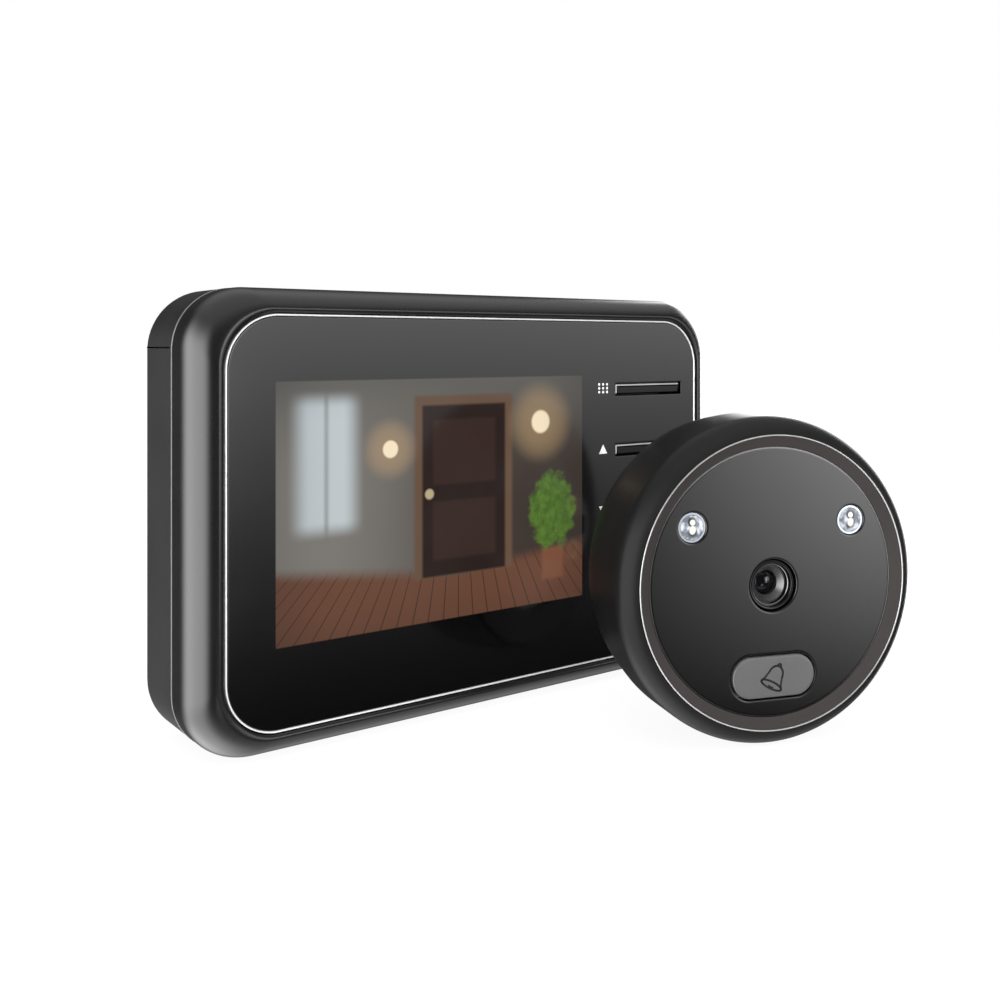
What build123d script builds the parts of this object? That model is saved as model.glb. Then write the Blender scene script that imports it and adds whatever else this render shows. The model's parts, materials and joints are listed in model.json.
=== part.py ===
"""Door viewer set: an indoor monitor and a round outdoor camera with a bell button.

Millimetres, +Z up. The monitor faces -Y and is centred on X. The origin is on the floor,
midway along the flat underside of its front shell. The outdoor camera stands in front of
it, turned about its own upright axis.
"""

import os
from math import cos, radians, sin

from build123d import *

# Shared fits
overrun = 2.0
seat_gap = 0.1
slide_gap = 0.3
key_side_gap = 0.25
quarter_angle = 90.0

# Monitor casing
corner_radius = 9.5
front_depth = 8.7
rim_roll = 5.6
rim_rise = 0.4
rim_step_count = 5
shell_wall = 1.6
front_plate = 1.4
seam_trim_thickness = 0.5
back_edge_radius = 3.0
top_strip_height = 8.95
inner_edge_radius = 1.0

# Glossy face and its trim
panel_side_margin = 5.0
panel_end_margin = 4.4
panel_corner_radius = 8.0
panel_thickness = 1.5
panel_trim_width = 0.45
panel_trim_rise = 0.15

# Screen
screen_width = 59.2
screen_height = 39.3
screen_left_margin = 12.44
screen_top_margin = 14.07
screen_bottom_margin = 16.43
screen_key_gap = 8.33
lcd_border = 3.6
lcd_thickness = 2.4
lcd_frame_wall = 0.5
window_margin = 0.6

# Keys
key_count = 4
key_length = 16.4
key_height = 1.8
key_pitch = 11.1
key_right_margin = 8.63
key_top_margin = 16.75
key_recess = 0.25
key_flange = 1.0
key_flange_height = 4.4
key_travel = 0.4
key_foot = 3.0
key_edge_radius = 0.25

# Tact switches
switch_size = 6.0
switch_height = 1.6
switch_plunger_radius = 1.2
switch_plunger_height = 0.3

# Main board
board_thickness = 1.0
board_edge_margin = 4.0
board_corner_radius = 6.0
board_depth = 7.0
chip_size = 12.0
chip_thickness = 0.9
socket_width = 12.0
socket_height = 4.4
socket_thickness = 2.2
socket_mouth_width_share = 0.8
socket_mouth_height_share = 0.4
socket_mouth_depth_share = 0.6

# Screws and bosses
boss_radius = 2.8
boss_notch_gap = 0.6
shell_screw_hanger_margin = 1.5
shell_screw_low = 7.2
shell_screw_top_margin = 5.65
board_screw_low_x = 9.5
board_screw_side_margin = 12.5
board_screw_low = 7.2
board_screw_top_margin = 6.85
screw_radius = 0.95
screw_pilot_gap = 0.05
screw_head_radius = 1.9
screw_head_height = 0.9
screw_cross_width = 0.5
screw_cross_depth = 0.5
shell_screw_length = 8.0
board_screw_length = 4.0
screw_well_radius = 2.5
screw_well_wall = 0.7
screw_cross_share = 0.7

# Rear shell
bulkhead_board_gap = 3.0
bulkhead_thickness = 1.4
cover_gap = 0.4
locating_lip_wall = 0.7
locating_lip_length = 2.8
guide_rib_width = 8.0
guide_rib_thickness = 1.2
guide_rib_pitch = 40.0
finger_notch_width = 14.0
finger_notch_depth = 1.2

# Battery bays
cell_radius = 5.25
cell_length = 44.5
cell_button_radius = 1.9
cell_button_height = 0.9
cell_edge = 0.4
cell_pair_gap = 0.5
bay_wall = 1.0
bay_board_gap = 0.3
bay_rim_gap = 2.8
bay_side_margin = 4.1
bay_hanger_gap = 1.9
bay_low = 7.0
bay_strip_gap = 3.15
bay_corner_radius = 1.5
cell_cover_gap = 0.35
contact_width = 8.0
contact_thickness = 0.4
contact_bend_share = 0.25
bay_end_gap = 2.6

# Hanger block, where the door bracket hooks in and the ribbon cable plugs in
hanger_low = 12.0
hanger_strip_gap = 7.85
hanger_corner_radius = 4.0
hanger_set_back = 0.3
hanger_plate = 1.6
hanger_wall = 1.4
hanger_slot_length = 7.0
hanger_slot_height = 2.6
hanger_slot_side_margin = 6.0
hanger_slot_end_margin = 6.5
cable_hole_width = 18.0
cable_hole_height = 9.0
cable_hole_gap = 3.3

# Speaker
speaker_radius = 9.0
speaker_thickness = 4.0
speaker_frame = 1.2
speaker_cone_depth = 1.4
speaker_cone_angle = 30.0
speaker_hole_radius = 0.8
speaker_hole_circle_radius = 4.0
speaker_hole_count = 6

# Outdoor camera casing
outdoor_radius = 25.15
outdoor_shoulder_width = 2.69
outdoor_back_taper = 0.63
outdoor_taper_depth = 5.0
outdoor_roll = 3.6
outdoor_back_edge = 0.8
outdoor_wall = 1.8
edge_ring_width = 0.35
edge_ring_depth = 1.2
bevel_width = 1.58
bevel_drop = 0.9
outdoor_face_thickness = 1.6
ledge_width = 1.35
ledge_thickness = 1.2

# Outdoor camera's place on the floor and its turn about the upright
outdoor_turn_angle = 19.83
outdoor_x = 23.03
outdoor_stand_off = 40.57

# Lens
lens_drop = 0.6
lens_hole_gap = 0.2
barrel_radius = 3.8
barrel_length = 6.2
barrel_recess = 0.5
barrel_throat_radius = 1.9
barrel_step_count = 4
barrel_step_depth = 0.45
barrel_lip = 0.45
glass_side_gap = 0.1
glass_crown = 0.6
glass_middle_share = 0.5
glass_sag_share = 0.25
glass_thickness = 1.1
holder_barrel_wall = 0.75
holder_height = 5.0
holder_wall = 0.9
sensor_size = 5.6
sensor_thickness = 0.9
sensor_gap = 1.05

# Lamps beside the lens
lamp_edge_margin = 4.4
lamp_place_angle = 33.0
lamp_hole_radius = 2.27
lamp_cup_wall = 0.3
lamp_cup_depth = 2.6
lamp_cup_base = 0.5
lamp_cup_floor_radius = 1.3
lamp_die_width = 1.3
lamp_die_height = 2.0
lamp_die_thickness = 0.35
lamp_lens_thickness = 0.7
lamp_lens_crown = 0.25
lamp_lens_gap = 0.05
lamp_die_round_share = 0.4
lamp_post_radius = 1.1

# Bell button
bell_width = 13.9
bell_height = 6.25
bell_edge_margin = 2.97
bell_rise = 0.25
bell_travel = 0.8
bell_flange = 0.9
bell_flange_lip = 0.6
bell_cap_edge = 0.2
bell_foot_radius = 1.5
bell_seal_width = 1.0
bell_seal_thickness = 0.8
bell_switch_height = 3.2
bell_plunger_height = 0.5

# Outdoor board and back
outdoor_board_edge_gap = 3.5
outdoor_board_thickness = 1.2
pillar_radius = 1.9
pillar_bore_gap = 2.9
pillar_count = 3
outdoor_screw_length = 6.0
back_plate_thickness = 1.8
spigot_radius = 6.8
spigot_length = 9.0
spigot_chamfer = 0.4
insert_radius = 1.8
insert_bore_radius = 1.25
insert_length = 7.0
insert_edge_margin = 2.4
ribbon_slot_width = 9.5
ribbon_slot_height = 3.8
ribbon_socket_thickness = 1.5
ribbon_plug_room = 1.7
ribbon_socket_share = 0.85
gasket_thickness = 1.0
gasket_width = 6.5
gasket_edge_gap = 0.8

# The depth of each layer of the monitor, from the face to the back
face_y = -(rim_roll + front_depth) / 2
panel_depth = panel_thickness + seat_gap
plate_back = panel_depth + front_plate
seam_back = front_depth + seam_trim_thickness
cover_start = seam_back + seat_gap
board_back = board_depth + board_thickness
bulkhead_depth = board_back + bulkhead_board_gap
bay_floor_depth = board_back + bay_board_gap + bay_wall
cell_depth = bay_floor_depth + cell_pair_gap / 2 + cell_radius
monitor_depth = cell_depth + cell_radius + cell_cover_gap + shell_wall
bay_rim_depth = monitor_depth - shell_wall - bay_rim_gap
hanger_back = monitor_depth - hanger_set_back

# The casing is as wide as the screen beside the keys, and as high as the taller of screen and cells
bay_width = 4 * cell_radius + 3 * cell_pair_gap
bay_height = cell_length + 2 * bay_end_gap
screen_stack = screen_top_margin + screen_height + screen_bottom_margin
cell_stack = bay_low + bay_height + bay_wall + bay_strip_gap + top_strip_height
monitor_width = screen_left_margin + screen_width + screen_key_gap + key_length + key_right_margin
monitor_height = max(screen_stack, cell_stack)
half_height = monitor_height / 2

# Places across the monitor
parting_z = monitor_height - top_strip_height
screen_x = -monitor_width / 2 + screen_left_margin + screen_width / 2
screen_z = monitor_height - screen_top_margin - screen_height / 2
key_x = monitor_width / 2 - key_right_margin - key_length / 2
key_top_z = monitor_height - key_top_margin
key_names = ["menu_key", "up_key", "down_key", "power_key"]
key_heights = [key_top_z - index * key_pitch for index in range(key_count)]
flange_front = plate_back + seat_gap
bay_x = monitor_width / 2 - bay_side_margin - bay_wall - bay_width / 2
hanger_width = 2 * (bay_x - bay_width / 2 - bay_wall - bay_hanger_gap)
hanger_height = parting_z - hanger_strip_gap - hanger_low
hanger_z = hanger_low + hanger_height / 2
hanger_slot_pitch_x = hanger_width - 2 * hanger_slot_side_margin
hanger_slot_pitch_z = hanger_height - 2 * hanger_slot_end_margin
speaker_z = hanger_low + hanger_wall + slide_gap + speaker_radius
cable_hole_z = speaker_z + speaker_radius + cable_hole_gap + cable_hole_height / 2
cell_pitch = 2 * cell_radius + cell_pair_gap
cell_low = bay_low + bay_end_gap
contact_reach = bay_end_gap - seat_gap
shell_screw_x = hanger_width / 2 - shell_screw_hanger_margin
shell_screw_high = monitor_height - shell_screw_top_margin
low_shell_bosses = [(side * shell_screw_x, shell_screw_low) for side in (-1, 1)]
high_shell_bosses = [(side * shell_screw_x, shell_screw_high) for side in (-1, 1)]
shell_bosses = low_shell_bosses + high_shell_bosses
board_screw_high_x = monitor_width / 2 - board_screw_side_margin
board_screw_high = monitor_height - board_screw_top_margin
board_bosses = [(side * board_screw_low_x, board_screw_low) for side in (-1, 1)]
board_bosses += [(side * board_screw_high_x, board_screw_high) for side in (-1, 1)]
guide_x = monitor_width / 2 - shell_wall - guide_rib_thickness / 2
guide_rises = (half_height - guide_rib_pitch / 2, half_height + guide_rib_pitch / 2)
guide_places = [(side * guide_x, z) for side in (-1, 1) for z in guide_rises]

# Radii and depths of the outdoor camera, from its front ring to its back
outdoor_ring_radius = outdoor_radius - outdoor_shoulder_width
outdoor_face_radius = outdoor_ring_radius - edge_ring_width - bevel_width
outdoor_back_radius = outdoor_radius - outdoor_back_taper
bore_radius = outdoor_back_radius - outdoor_wall
outdoor_board_radius = bore_radius - outdoor_board_edge_gap
pillar_circle_radius = bore_radius - pillar_bore_gap
lamp_circle_radius = outdoor_face_radius - lamp_edge_margin
lamp_spread = lamp_circle_radius * cos(radians(lamp_place_angle))
lamp_rise = lamp_circle_radius * sin(radians(lamp_place_angle))
lamp_places = [(-lamp_spread, lamp_rise), (lamp_spread, lamp_rise)]
lens_hole_radius = barrel_radius + lens_hole_gap
glass_radius = barrel_throat_radius - glass_side_gap
holder_size = 2 * (barrel_radius + holder_barrel_wall)
bell_drop = outdoor_face_radius - bell_edge_margin - bell_height / 2
insert_spacing = 2 * (spigot_radius - insert_edge_margin)
face_front = bevel_drop
face_back = face_front + outdoor_face_thickness
bell_flange_front = face_back + seat_gap
barrel_front = face_front + barrel_recess
barrel_back = barrel_front + barrel_length
outdoor_board_depth = barrel_back + sensor_gap + sensor_thickness + seat_gap / 2
outdoor_board_back = outdoor_board_depth + outdoor_board_thickness
back_plate_front = outdoor_board_back + ribbon_socket_thickness + ribbon_plug_room
outdoor_depth = back_plate_front + back_plate_thickness
outdoor_back_start = outdoor_depth - outdoor_taper_depth
counterbore_depth = screw_head_height + seat_gap


def monitor_plane(depth):
    """The plane across the monitor that far behind its face; its normal points to the front."""
    return Plane.XZ.offset(-(face_y + depth))


def outdoor_plane(depth):
    """The plane across the outdoor camera that far behind its front ring, normal to the front."""
    turn = radians(outdoor_turn_angle)
    to_right = Vector(cos(turn), -sin(turn), 0)
    to_front = Vector(-sin(turn), -cos(turn), 0)
    ring_centre = Vector(outdoor_x, face_y - outdoor_stand_off, outdoor_radius)
    return Plane(origin=ring_centre - to_front * depth, x_dir=to_right, z_dir=to_front)


def outdoor_section():
    """The upright plane through the outdoor camera's axis: X out from the axis, Y to the front."""
    front = outdoor_plane(0)
    return Plane(origin=front.origin, x_dir=front.x_dir, z_dir=front.x_dir.cross(front.z_dir))


outdoor_axis = Axis(outdoor_plane(0).origin, outdoor_plane(0).z_dir)


def save(builder, name):
    """Label a finished piece with its own name and write it."""
    builder.part.label = name
    export_step(builder.part, f"parts/{name}.step")


def outline(inset, mode=Mode.ADD):
    """The monitor's rounded outline, drawn in by an inset."""
    with Locations((0, half_height)):
        RectangleRounded(
            monitor_width - 2 * inset,
            monitor_height - 2 * inset,
            corner_radius - inset,
            mode=mode,
        )


def panel_outline(grow, mode=Mode.ADD):
    """The glossy face's rounded outline, grown outwards."""
    with Locations((0, half_height)):
        RectangleRounded(
            monitor_width - 2 * (panel_side_margin - grow),
            monitor_height - 2 * (panel_end_margin - grow),
            panel_corner_radius + grow,
            mode=mode,
        )


def rim_outline(share):
    """The rim's outline at a share of the way in from the casing's outline to the trim."""
    trim_outside = panel_trim_width + seat_gap
    with Locations((0, half_height)):
        RectangleRounded(
            monitor_width - 2 * share * (panel_side_margin - trim_outside),
            monitor_height - 2 * share * (panel_end_margin - trim_outside),
            corner_radius + share * (panel_corner_radius + trim_outside - corner_radius),
        )


os.makedirs("parts", exist_ok=True)


# Front shell: a rim that rolls over to the face, a plate behind the face, screw bosses
with BuildPart() as front_shell:
    with BuildSketch(monitor_plane(front_depth)):
        outline(0)
    extrude(amount=front_depth - rim_roll)
    for step in range(rim_step_count + 1):
        roll_angle = radians(quarter_angle * step / rim_step_count)
        with BuildSketch(monitor_plane(rim_roll - (rim_roll + rim_rise) * sin(roll_angle))):
            rim_outline(1 - cos(roll_angle))
    loft(ruled=True)
    with BuildSketch(monitor_plane(panel_depth)):
        panel_outline(panel_trim_width + seat_gap)
    extrude(amount=panel_depth + overrun, mode=Mode.SUBTRACT)
    with BuildSketch(monitor_plane(plate_back)):
        outline(shell_wall)
    extrude(amount=plate_back - front_depth, mode=Mode.SUBTRACT)
    with BuildSketch(monitor_plane(panel_depth)):
        with Locations((screen_x, screen_z)):
            Rectangle(screen_width + 2 * window_margin, screen_height + 2 * window_margin)
        with Locations([(key_x, z) for z in key_heights]):
            Rectangle(key_length + 2 * key_side_gap, key_height + 2 * key_side_gap)
    extrude(amount=-front_plate, mode=Mode.SUBTRACT)
    with BuildSketch(monitor_plane(plate_back)):
        with Locations(shell_bosses):
            Circle(boss_radius)
    extrude(amount=plate_back - bulkhead_depth + seat_gap)
    with BuildSketch(monitor_plane(plate_back)):
        with Locations(board_bosses):
            Circle(boss_radius)
    extrude(amount=plate_back - board_depth + seat_gap)
    with BuildSketch(monitor_plane(bulkhead_depth)):
        with Locations(shell_bosses):
            Circle(screw_radius + screw_pilot_gap)
    extrude(amount=shell_screw_length, mode=Mode.SUBTRACT)
    with BuildSketch(monitor_plane(board_depth)):
        with Locations(board_bosses):
            Circle(screw_radius + screw_pilot_gap)
    extrude(amount=board_screw_length, mode=Mode.SUBTRACT)
save(front_shell, "front_shell")

# Seam trim: the thin bright ring between the front and rear shells
with BuildPart() as seam_trim:
    with BuildSketch(monitor_plane(front_depth)):
        outline(0)
        outline(shell_wall, mode=Mode.SUBTRACT)
    extrude(amount=-seam_trim_thickness)
save(seam_trim, "seam_trim")

# Panel trim: the bright ring round the glossy face
with BuildPart() as panel_trim:
    with BuildSketch(monitor_plane(panel_depth)):
        panel_outline(seat_gap / 2 + panel_trim_width)
        panel_outline(seat_gap / 2, mode=Mode.SUBTRACT)
    extrude(amount=panel_depth + panel_trim_rise)
save(panel_trim, "panel_trim")

# Face panel: the glossy sheet over the screen, with a slot for each key
with BuildPart() as face_panel:
    with BuildSketch(monitor_plane(panel_thickness)):
        panel_outline(0)
        with Locations([(key_x, z) for z in key_heights]):
            Rectangle(
                key_length + 2 * key_side_gap,
                key_height + 2 * key_side_gap,
                mode=Mode.SUBTRACT,
            )
    extrude(amount=panel_thickness)
save(face_panel, "face_panel")

# Screen: the display glass and its backlight, in a folded metal frame
lcd_front = plate_back + seat_gap / 2
with BuildPart() as lcd_module:
    with BuildSketch(monitor_plane(lcd_front)):
        with Locations((screen_x, screen_z)):
            Rectangle(screen_width + 2 * lcd_border, screen_height + 2 * lcd_border)
    extrude(amount=-lcd_thickness)
    with BuildSketch(monitor_plane(lcd_front)):
        with Locations((screen_x, screen_z)):
            Rectangle(screen_width, screen_height)
    extrude(amount=front_plate / 2)
save(lcd_module, "lcd_module")

lcd_frame_inner = lcd_border + seat_gap / 2
with BuildPart() as lcd_frame:
    with BuildSketch(monitor_plane(lcd_front)):
        with Locations((screen_x, screen_z)):
            Rectangle(
                screen_width + 2 * (lcd_frame_inner + lcd_frame_wall),
                screen_height + 2 * (lcd_frame_inner + lcd_frame_wall),
            )
    extrude(amount=-(lcd_thickness + seat_gap / 2 + lcd_frame_wall))
    with BuildSketch(monitor_plane(lcd_front)):
        with Locations((screen_x, screen_z)):
            Rectangle(screen_width + 2 * lcd_frame_inner, screen_height + 2 * lcd_frame_inner)
    extrude(amount=-(lcd_thickness + seat_gap / 2), mode=Mode.SUBTRACT)
save(lcd_frame, "lcd_frame")

# Keys: slim bars that pass through the face, each on a flange with a foot for its switch
switch_front = board_depth - seat_gap / 2 - switch_height
plunger_front = switch_front - switch_plunger_height
foot_back = plunger_front - key_travel - seat_gap
for key_name, key_z in zip(key_names, key_heights):
    with BuildPart() as key:
        with BuildSketch(monitor_plane(flange_front)):
            with Locations((key_x, key_z)):
                Rectangle(key_length, key_height)
        extrude(amount=flange_front - key_recess)
        front_face = key.faces().sort_by(Axis.Y)[0]
        chamfer(front_face.edges(), key_edge_radius)
        with BuildSketch(monitor_plane(flange_front)):
            with Locations((key_x, key_z)):
                Rectangle(key_length + 2 * key_flange, key_flange_height)
        extrude(amount=-key_flange)
        with BuildSketch(monitor_plane(flange_front + key_flange)):
            with Locations((key_x, key_z)):
                Circle(key_foot / 2)
        extrude(amount=flange_front + key_flange - foot_back)
    save(key, key_name)

# Key switches: one under each key, on the main board
with BuildPart() as key_switches:
    with BuildSketch(monitor_plane(board_depth - seat_gap / 2)):
        with Locations([(key_x, z) for z in key_heights]):
            Rectangle(switch_size, switch_size)
    extrude(amount=switch_height)
    with BuildSketch(monitor_plane(switch_front)):
        with Locations([(key_x, z) for z in key_heights]):
            Circle(switch_plunger_radius)
    extrude(amount=switch_plunger_height)
save(key_switches, "key_switches")

# Main board, its processor and the socket for the ribbon cable
with BuildPart() as main_board:
    with BuildSketch(monitor_plane(board_depth)):
        with Locations((0, half_height)):
            RectangleRounded(
                monitor_width - 2 * board_edge_margin,
                monitor_height - 2 * board_edge_margin,
                board_corner_radius,
            )
        with Locations(shell_bosses):
            Circle(boss_radius + boss_notch_gap, mode=Mode.SUBTRACT)
        with Locations(board_bosses):
            Circle(screw_radius + screw_pilot_gap, mode=Mode.SUBTRACT)
    extrude(amount=-board_thickness)
save(main_board, "main_board")

with BuildPart() as processor_chip:
    with BuildSketch(monitor_plane(board_back + seat_gap / 2)):
        with Locations((0, speaker_z)):
            Rectangle(chip_size, chip_size)
    extrude(amount=-chip_thickness)
save(processor_chip, "processor_chip")

with BuildPart() as ribbon_socket:
    with BuildSketch(monitor_plane(board_back + seat_gap / 2)):
        with Locations((0, cable_hole_z)):
            Rectangle(socket_width, socket_height)
    extrude(amount=-socket_thickness)
    with BuildSketch(monitor_plane(board_back + seat_gap / 2 + socket_thickness)):
        with Locations((0, cable_hole_z)):
            Rectangle(socket_width * socket_mouth_width_share, socket_height * socket_mouth_height_share)
    extrude(amount=socket_thickness * socket_mouth_depth_share, mode=Mode.SUBTRACT)
save(ribbon_socket, "ribbon_socket")


def screws(plane_under_head, places, length):
    """Pan-head screws with a cross recess, driven from behind, heads on the given plane."""
    with BuildPart() as built:
        with BuildSketch(plane_under_head):
            with Locations(places):
                Circle(screw_radius)
        extrude(amount=length)
        with BuildSketch(plane_under_head):
            with Locations(places):
                Circle(screw_head_radius)
        extrude(amount=-screw_head_height)
        cross_length = 2 * screw_head_radius * screw_cross_share
        with BuildSketch(plane_under_head.offset(-screw_head_height)):
            with Locations(places):
                Rectangle(cross_length, screw_cross_width)
                Rectangle(screw_cross_width, cross_length)
        extrude(amount=screw_cross_depth, mode=Mode.SUBTRACT)
    return built


board_screws = screws(monitor_plane(board_back + seat_gap / 2), board_bosses, board_screw_length)
save(board_screws, "board_screws")

under_shell_heads = monitor_plane(bulkhead_depth + bulkhead_thickness + seat_gap / 2)
shell_screws = screws(under_shell_heads, shell_bosses, shell_screw_length)
save(shell_screws, "shell_screws")

# Rear shell: the fixed top strip of the back, a bulkhead with its locating lip, two battery bays
# and the hanger block; notches in the bulkhead's sides guide the cover's ribs
strip_z = (parting_z + monitor_height) / 2
with BuildPart() as rear_shell:
    with BuildSketch(monitor_plane(cover_start)):
        outline(0)
        with Locations((0, strip_z)):
            Rectangle(monitor_width, monitor_height - parting_z, mode=Mode.INTERSECT)
    extrude(amount=cover_start - monitor_depth)
    back_face = rear_shell.faces().sort_by(Axis.Y)[-1]
    rolled = [edge for edge in back_face.edges() if edge.center().Z > parting_z + seat_gap]
    fillet(rolled, back_edge_radius)
    with BuildSketch(monitor_plane(cover_start)):
        outline(shell_wall)
        with Locations((0, strip_z)):
            Rectangle(
                monitor_width,
                monitor_height - parting_z - 2 * shell_wall,
                mode=Mode.INTERSECT,
            )
    extrude(amount=cover_start - monitor_depth + shell_wall, mode=Mode.SUBTRACT)
    with BuildSketch(monitor_plane(cover_start)):
        with Locations(high_shell_bosses):
            Rectangle(2 * (boss_radius + boss_notch_gap), 2 * (shell_screw_high - parting_z))
    extrude(amount=cover_start - bulkhead_depth, mode=Mode.SUBTRACT)
    with BuildSketch(monitor_plane(bulkhead_depth)):
        outline(shell_wall + cover_gap)
    extrude(amount=-bulkhead_thickness)
    with BuildSketch(monitor_plane(bulkhead_depth)):
        outline(shell_wall + cover_gap)
        outline(shell_wall + cover_gap + locating_lip_wall, mode=Mode.SUBTRACT)
    extrude(amount=locating_lip_length)
    with BuildSketch(monitor_plane(bulkhead_depth)):
        with Locations(guide_places):
            Rectangle(guide_rib_thickness + 2 * cover_gap, guide_rib_width + 2 * cover_gap)
    extrude(amount=-bulkhead_thickness, mode=Mode.SUBTRACT)
    with BuildSketch(monitor_plane(bay_floor_depth - bay_wall)):
        for side in (-1, 1):
            with Locations((side * bay_x, bay_low + bay_height / 2)):
                RectangleRounded(
                    bay_width + 2 * bay_wall,
                    bay_height + 2 * bay_wall,
                    bay_corner_radius + bay_wall,
                )
    extrude(amount=bay_floor_depth - bay_wall - bay_rim_depth)
    with BuildSketch(monitor_plane(hanger_back)):
        with Locations((0, hanger_z)):
            RectangleRounded(hanger_width, hanger_height, hanger_corner_radius)
    extrude(amount=hanger_back - bulkhead_depth)
    with BuildSketch(monitor_plane(hanger_back - hanger_plate)):
        with Locations((0, hanger_z)):
            RectangleRounded(
                hanger_width - 2 * hanger_wall,
                hanger_height - 2 * hanger_wall,
                hanger_corner_radius - hanger_wall,
            )
    extrude(amount=hanger_back - hanger_plate - bulkhead_depth, mode=Mode.SUBTRACT)
    with BuildSketch(monitor_plane(hanger_back)):
        with Locations((0, cable_hole_z)):
            RectangleRounded(cable_hole_width, cable_hole_height, inner_edge_radius)
        with Locations((0, hanger_z)):
            with GridLocations(hanger_slot_pitch_x, hanger_slot_pitch_z, 2, 2):
                SlotOverall(hanger_slot_length, hanger_slot_height)
        with Locations((0, speaker_z)):
            Circle(speaker_hole_radius)
            with PolarLocations(speaker_hole_circle_radius, speaker_hole_count):
                Circle(speaker_hole_radius)
    extrude(amount=hanger_plate, mode=Mode.SUBTRACT)
    with BuildSketch(monitor_plane(bay_floor_depth)):
        for side in (-1, 1):
            with Locations((side * bay_x, bay_low + bay_height / 2)):
                RectangleRounded(bay_width, bay_height, bay_corner_radius)
    extrude(amount=bay_floor_depth - monitor_depth, mode=Mode.SUBTRACT)
    with BuildSketch(monitor_plane(bulkhead_depth)):
        with Locations(high_shell_bosses):
            Circle(screw_well_radius + screw_well_wall)
    extrude(amount=bulkhead_depth - monitor_depth + shell_wall / 2)
    with BuildSketch(monitor_plane(bulkhead_depth)):
        with Locations(shell_bosses):
            Circle(screw_radius + screw_pilot_gap)
    extrude(amount=-bulkhead_thickness, mode=Mode.SUBTRACT)
    with BuildSketch(monitor_plane(bulkhead_depth + bulkhead_thickness)):
        with Locations(shell_bosses):
            Circle(screw_well_radius)
    extrude(amount=-monitor_depth, mode=Mode.SUBTRACT)
save(rear_shell, "rear_shell")

# Back cover: the rest of the back and its side walls, which pulls off to reach the cells
with BuildPart() as back_cover:
    cover_top = parting_z - cover_gap / 2
    with BuildSketch(monitor_plane(cover_start)):
        outline(0)
        with Locations((0, cover_top / 2)):
            Rectangle(monitor_width, cover_top, mode=Mode.INTERSECT)
    extrude(amount=cover_start - monitor_depth)
    back_face = back_cover.faces().sort_by(Axis.Y)[-1]
    rolled = [edge for edge in back_face.edges() if edge.center().Z < cover_top - seat_gap]
    fillet(rolled, back_edge_radius)
    with BuildSketch(monitor_plane(cover_start)):
        outline(shell_wall)
        with Locations((0, cover_top / 2)):
            Rectangle(monitor_width, cover_top + overrun, mode=Mode.INTERSECT)
    extrude(amount=cover_start - monitor_depth + shell_wall, mode=Mode.SUBTRACT)
    with BuildSketch(monitor_plane(monitor_depth)):
        with Locations((0, hanger_z)):
            RectangleRounded(
                hanger_width + 2 * slide_gap,
                hanger_height + 2 * slide_gap,
                hanger_corner_radius + slide_gap,
            )
    extrude(amount=shell_wall, mode=Mode.SUBTRACT)
    with BuildSketch(monitor_plane(monitor_depth - shell_wall)):
        with Locations(guide_places):
            Rectangle(guide_rib_thickness, guide_rib_width)
    extrude(amount=monitor_depth - shell_wall - bulkhead_depth)
    with BuildSketch(monitor_plane(cover_start)):
        Rectangle(finger_notch_width, 2 * (shell_wall + overrun))
    extrude(amount=-finger_notch_depth, mode=Mode.SUBTRACT)
save(back_cover, "back_cover")

# Battery cells, side by side and upright, two in each bay
cell_number = 0
for side in (-1, 1):
    for place in (-1, 1):
        cell_number += 1
        cell_x = side * bay_x + place * cell_pitch / 2
        with BuildPart() as battery:
            cell_y = face_y + cell_depth
            with BuildSketch(Plane(origin=Vector(cell_x, cell_y, cell_low), z_dir=Vector(0, 0, 1))):
                Circle(cell_radius)
            extrude(amount=cell_length - cell_button_height)
            chamfer(battery.edges().filter_by(GeomType.CIRCLE), cell_edge)
            cap_z = cell_low + cell_length - cell_button_height
            with BuildSketch(Plane(origin=Vector(cell_x, cell_y, cap_z), z_dir=Vector(0, 0, 1))):
                Circle(cell_button_radius)
            extrude(amount=cell_button_height)
        save(battery, f"battery_{cell_number}")

# Battery contacts: a bent spring leaf at each end of each cell
contact_centres = [side * bay_x + place * cell_pitch / 2 for side in (-1, 1) for place in (-1, 1)]
with BuildPart() as battery_contacts:
    for contact_x in contact_centres:
        for end in (-1, 1):
            wall_z = bay_low + bay_height / 2 + end * (bay_height / 2 - seat_gap / 2)
            leaf = Plane(
                origin=Vector(contact_x - contact_width / 2, face_y + cell_depth, wall_z),
                x_dir=Vector(0, -1, 0),
                z_dir=Vector(1, 0, 0),
            )
            inward = end
            bend = contact_width * contact_bend_share
            with BuildSketch(leaf):
                with BuildLine():
                    Polyline(
                        (-contact_width / 2, 0),
                        (contact_width / 2, 0),
                        (contact_width / 2, inward * contact_thickness),
                        (-bend, inward * contact_thickness),
                        (bend, inward * contact_reach),
                        (bend - contact_thickness, inward * contact_reach),
                        (-contact_width / 2, inward * contact_thickness),
                        (-contact_width / 2, 0),
                    )
                make_face()
            extrude(amount=contact_width)
save(battery_contacts, "battery_contacts")

# Speaker: a round driver against the inside of the hanger plate
with BuildPart() as speaker:
    with BuildSketch(monitor_plane(hanger_back - hanger_plate - seat_gap / 2)):
        with Locations((0, speaker_z)):
            Circle(speaker_radius)
    extrude(amount=speaker_thickness)
    with BuildSketch(monitor_plane(hanger_back - hanger_plate - seat_gap / 2)):
        with Locations((0, speaker_z)):
            Circle(speaker_radius - speaker_frame)
    extrude(amount=speaker_cone_depth, taper=speaker_cone_angle, mode=Mode.SUBTRACT)
save(speaker, "speaker")

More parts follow.
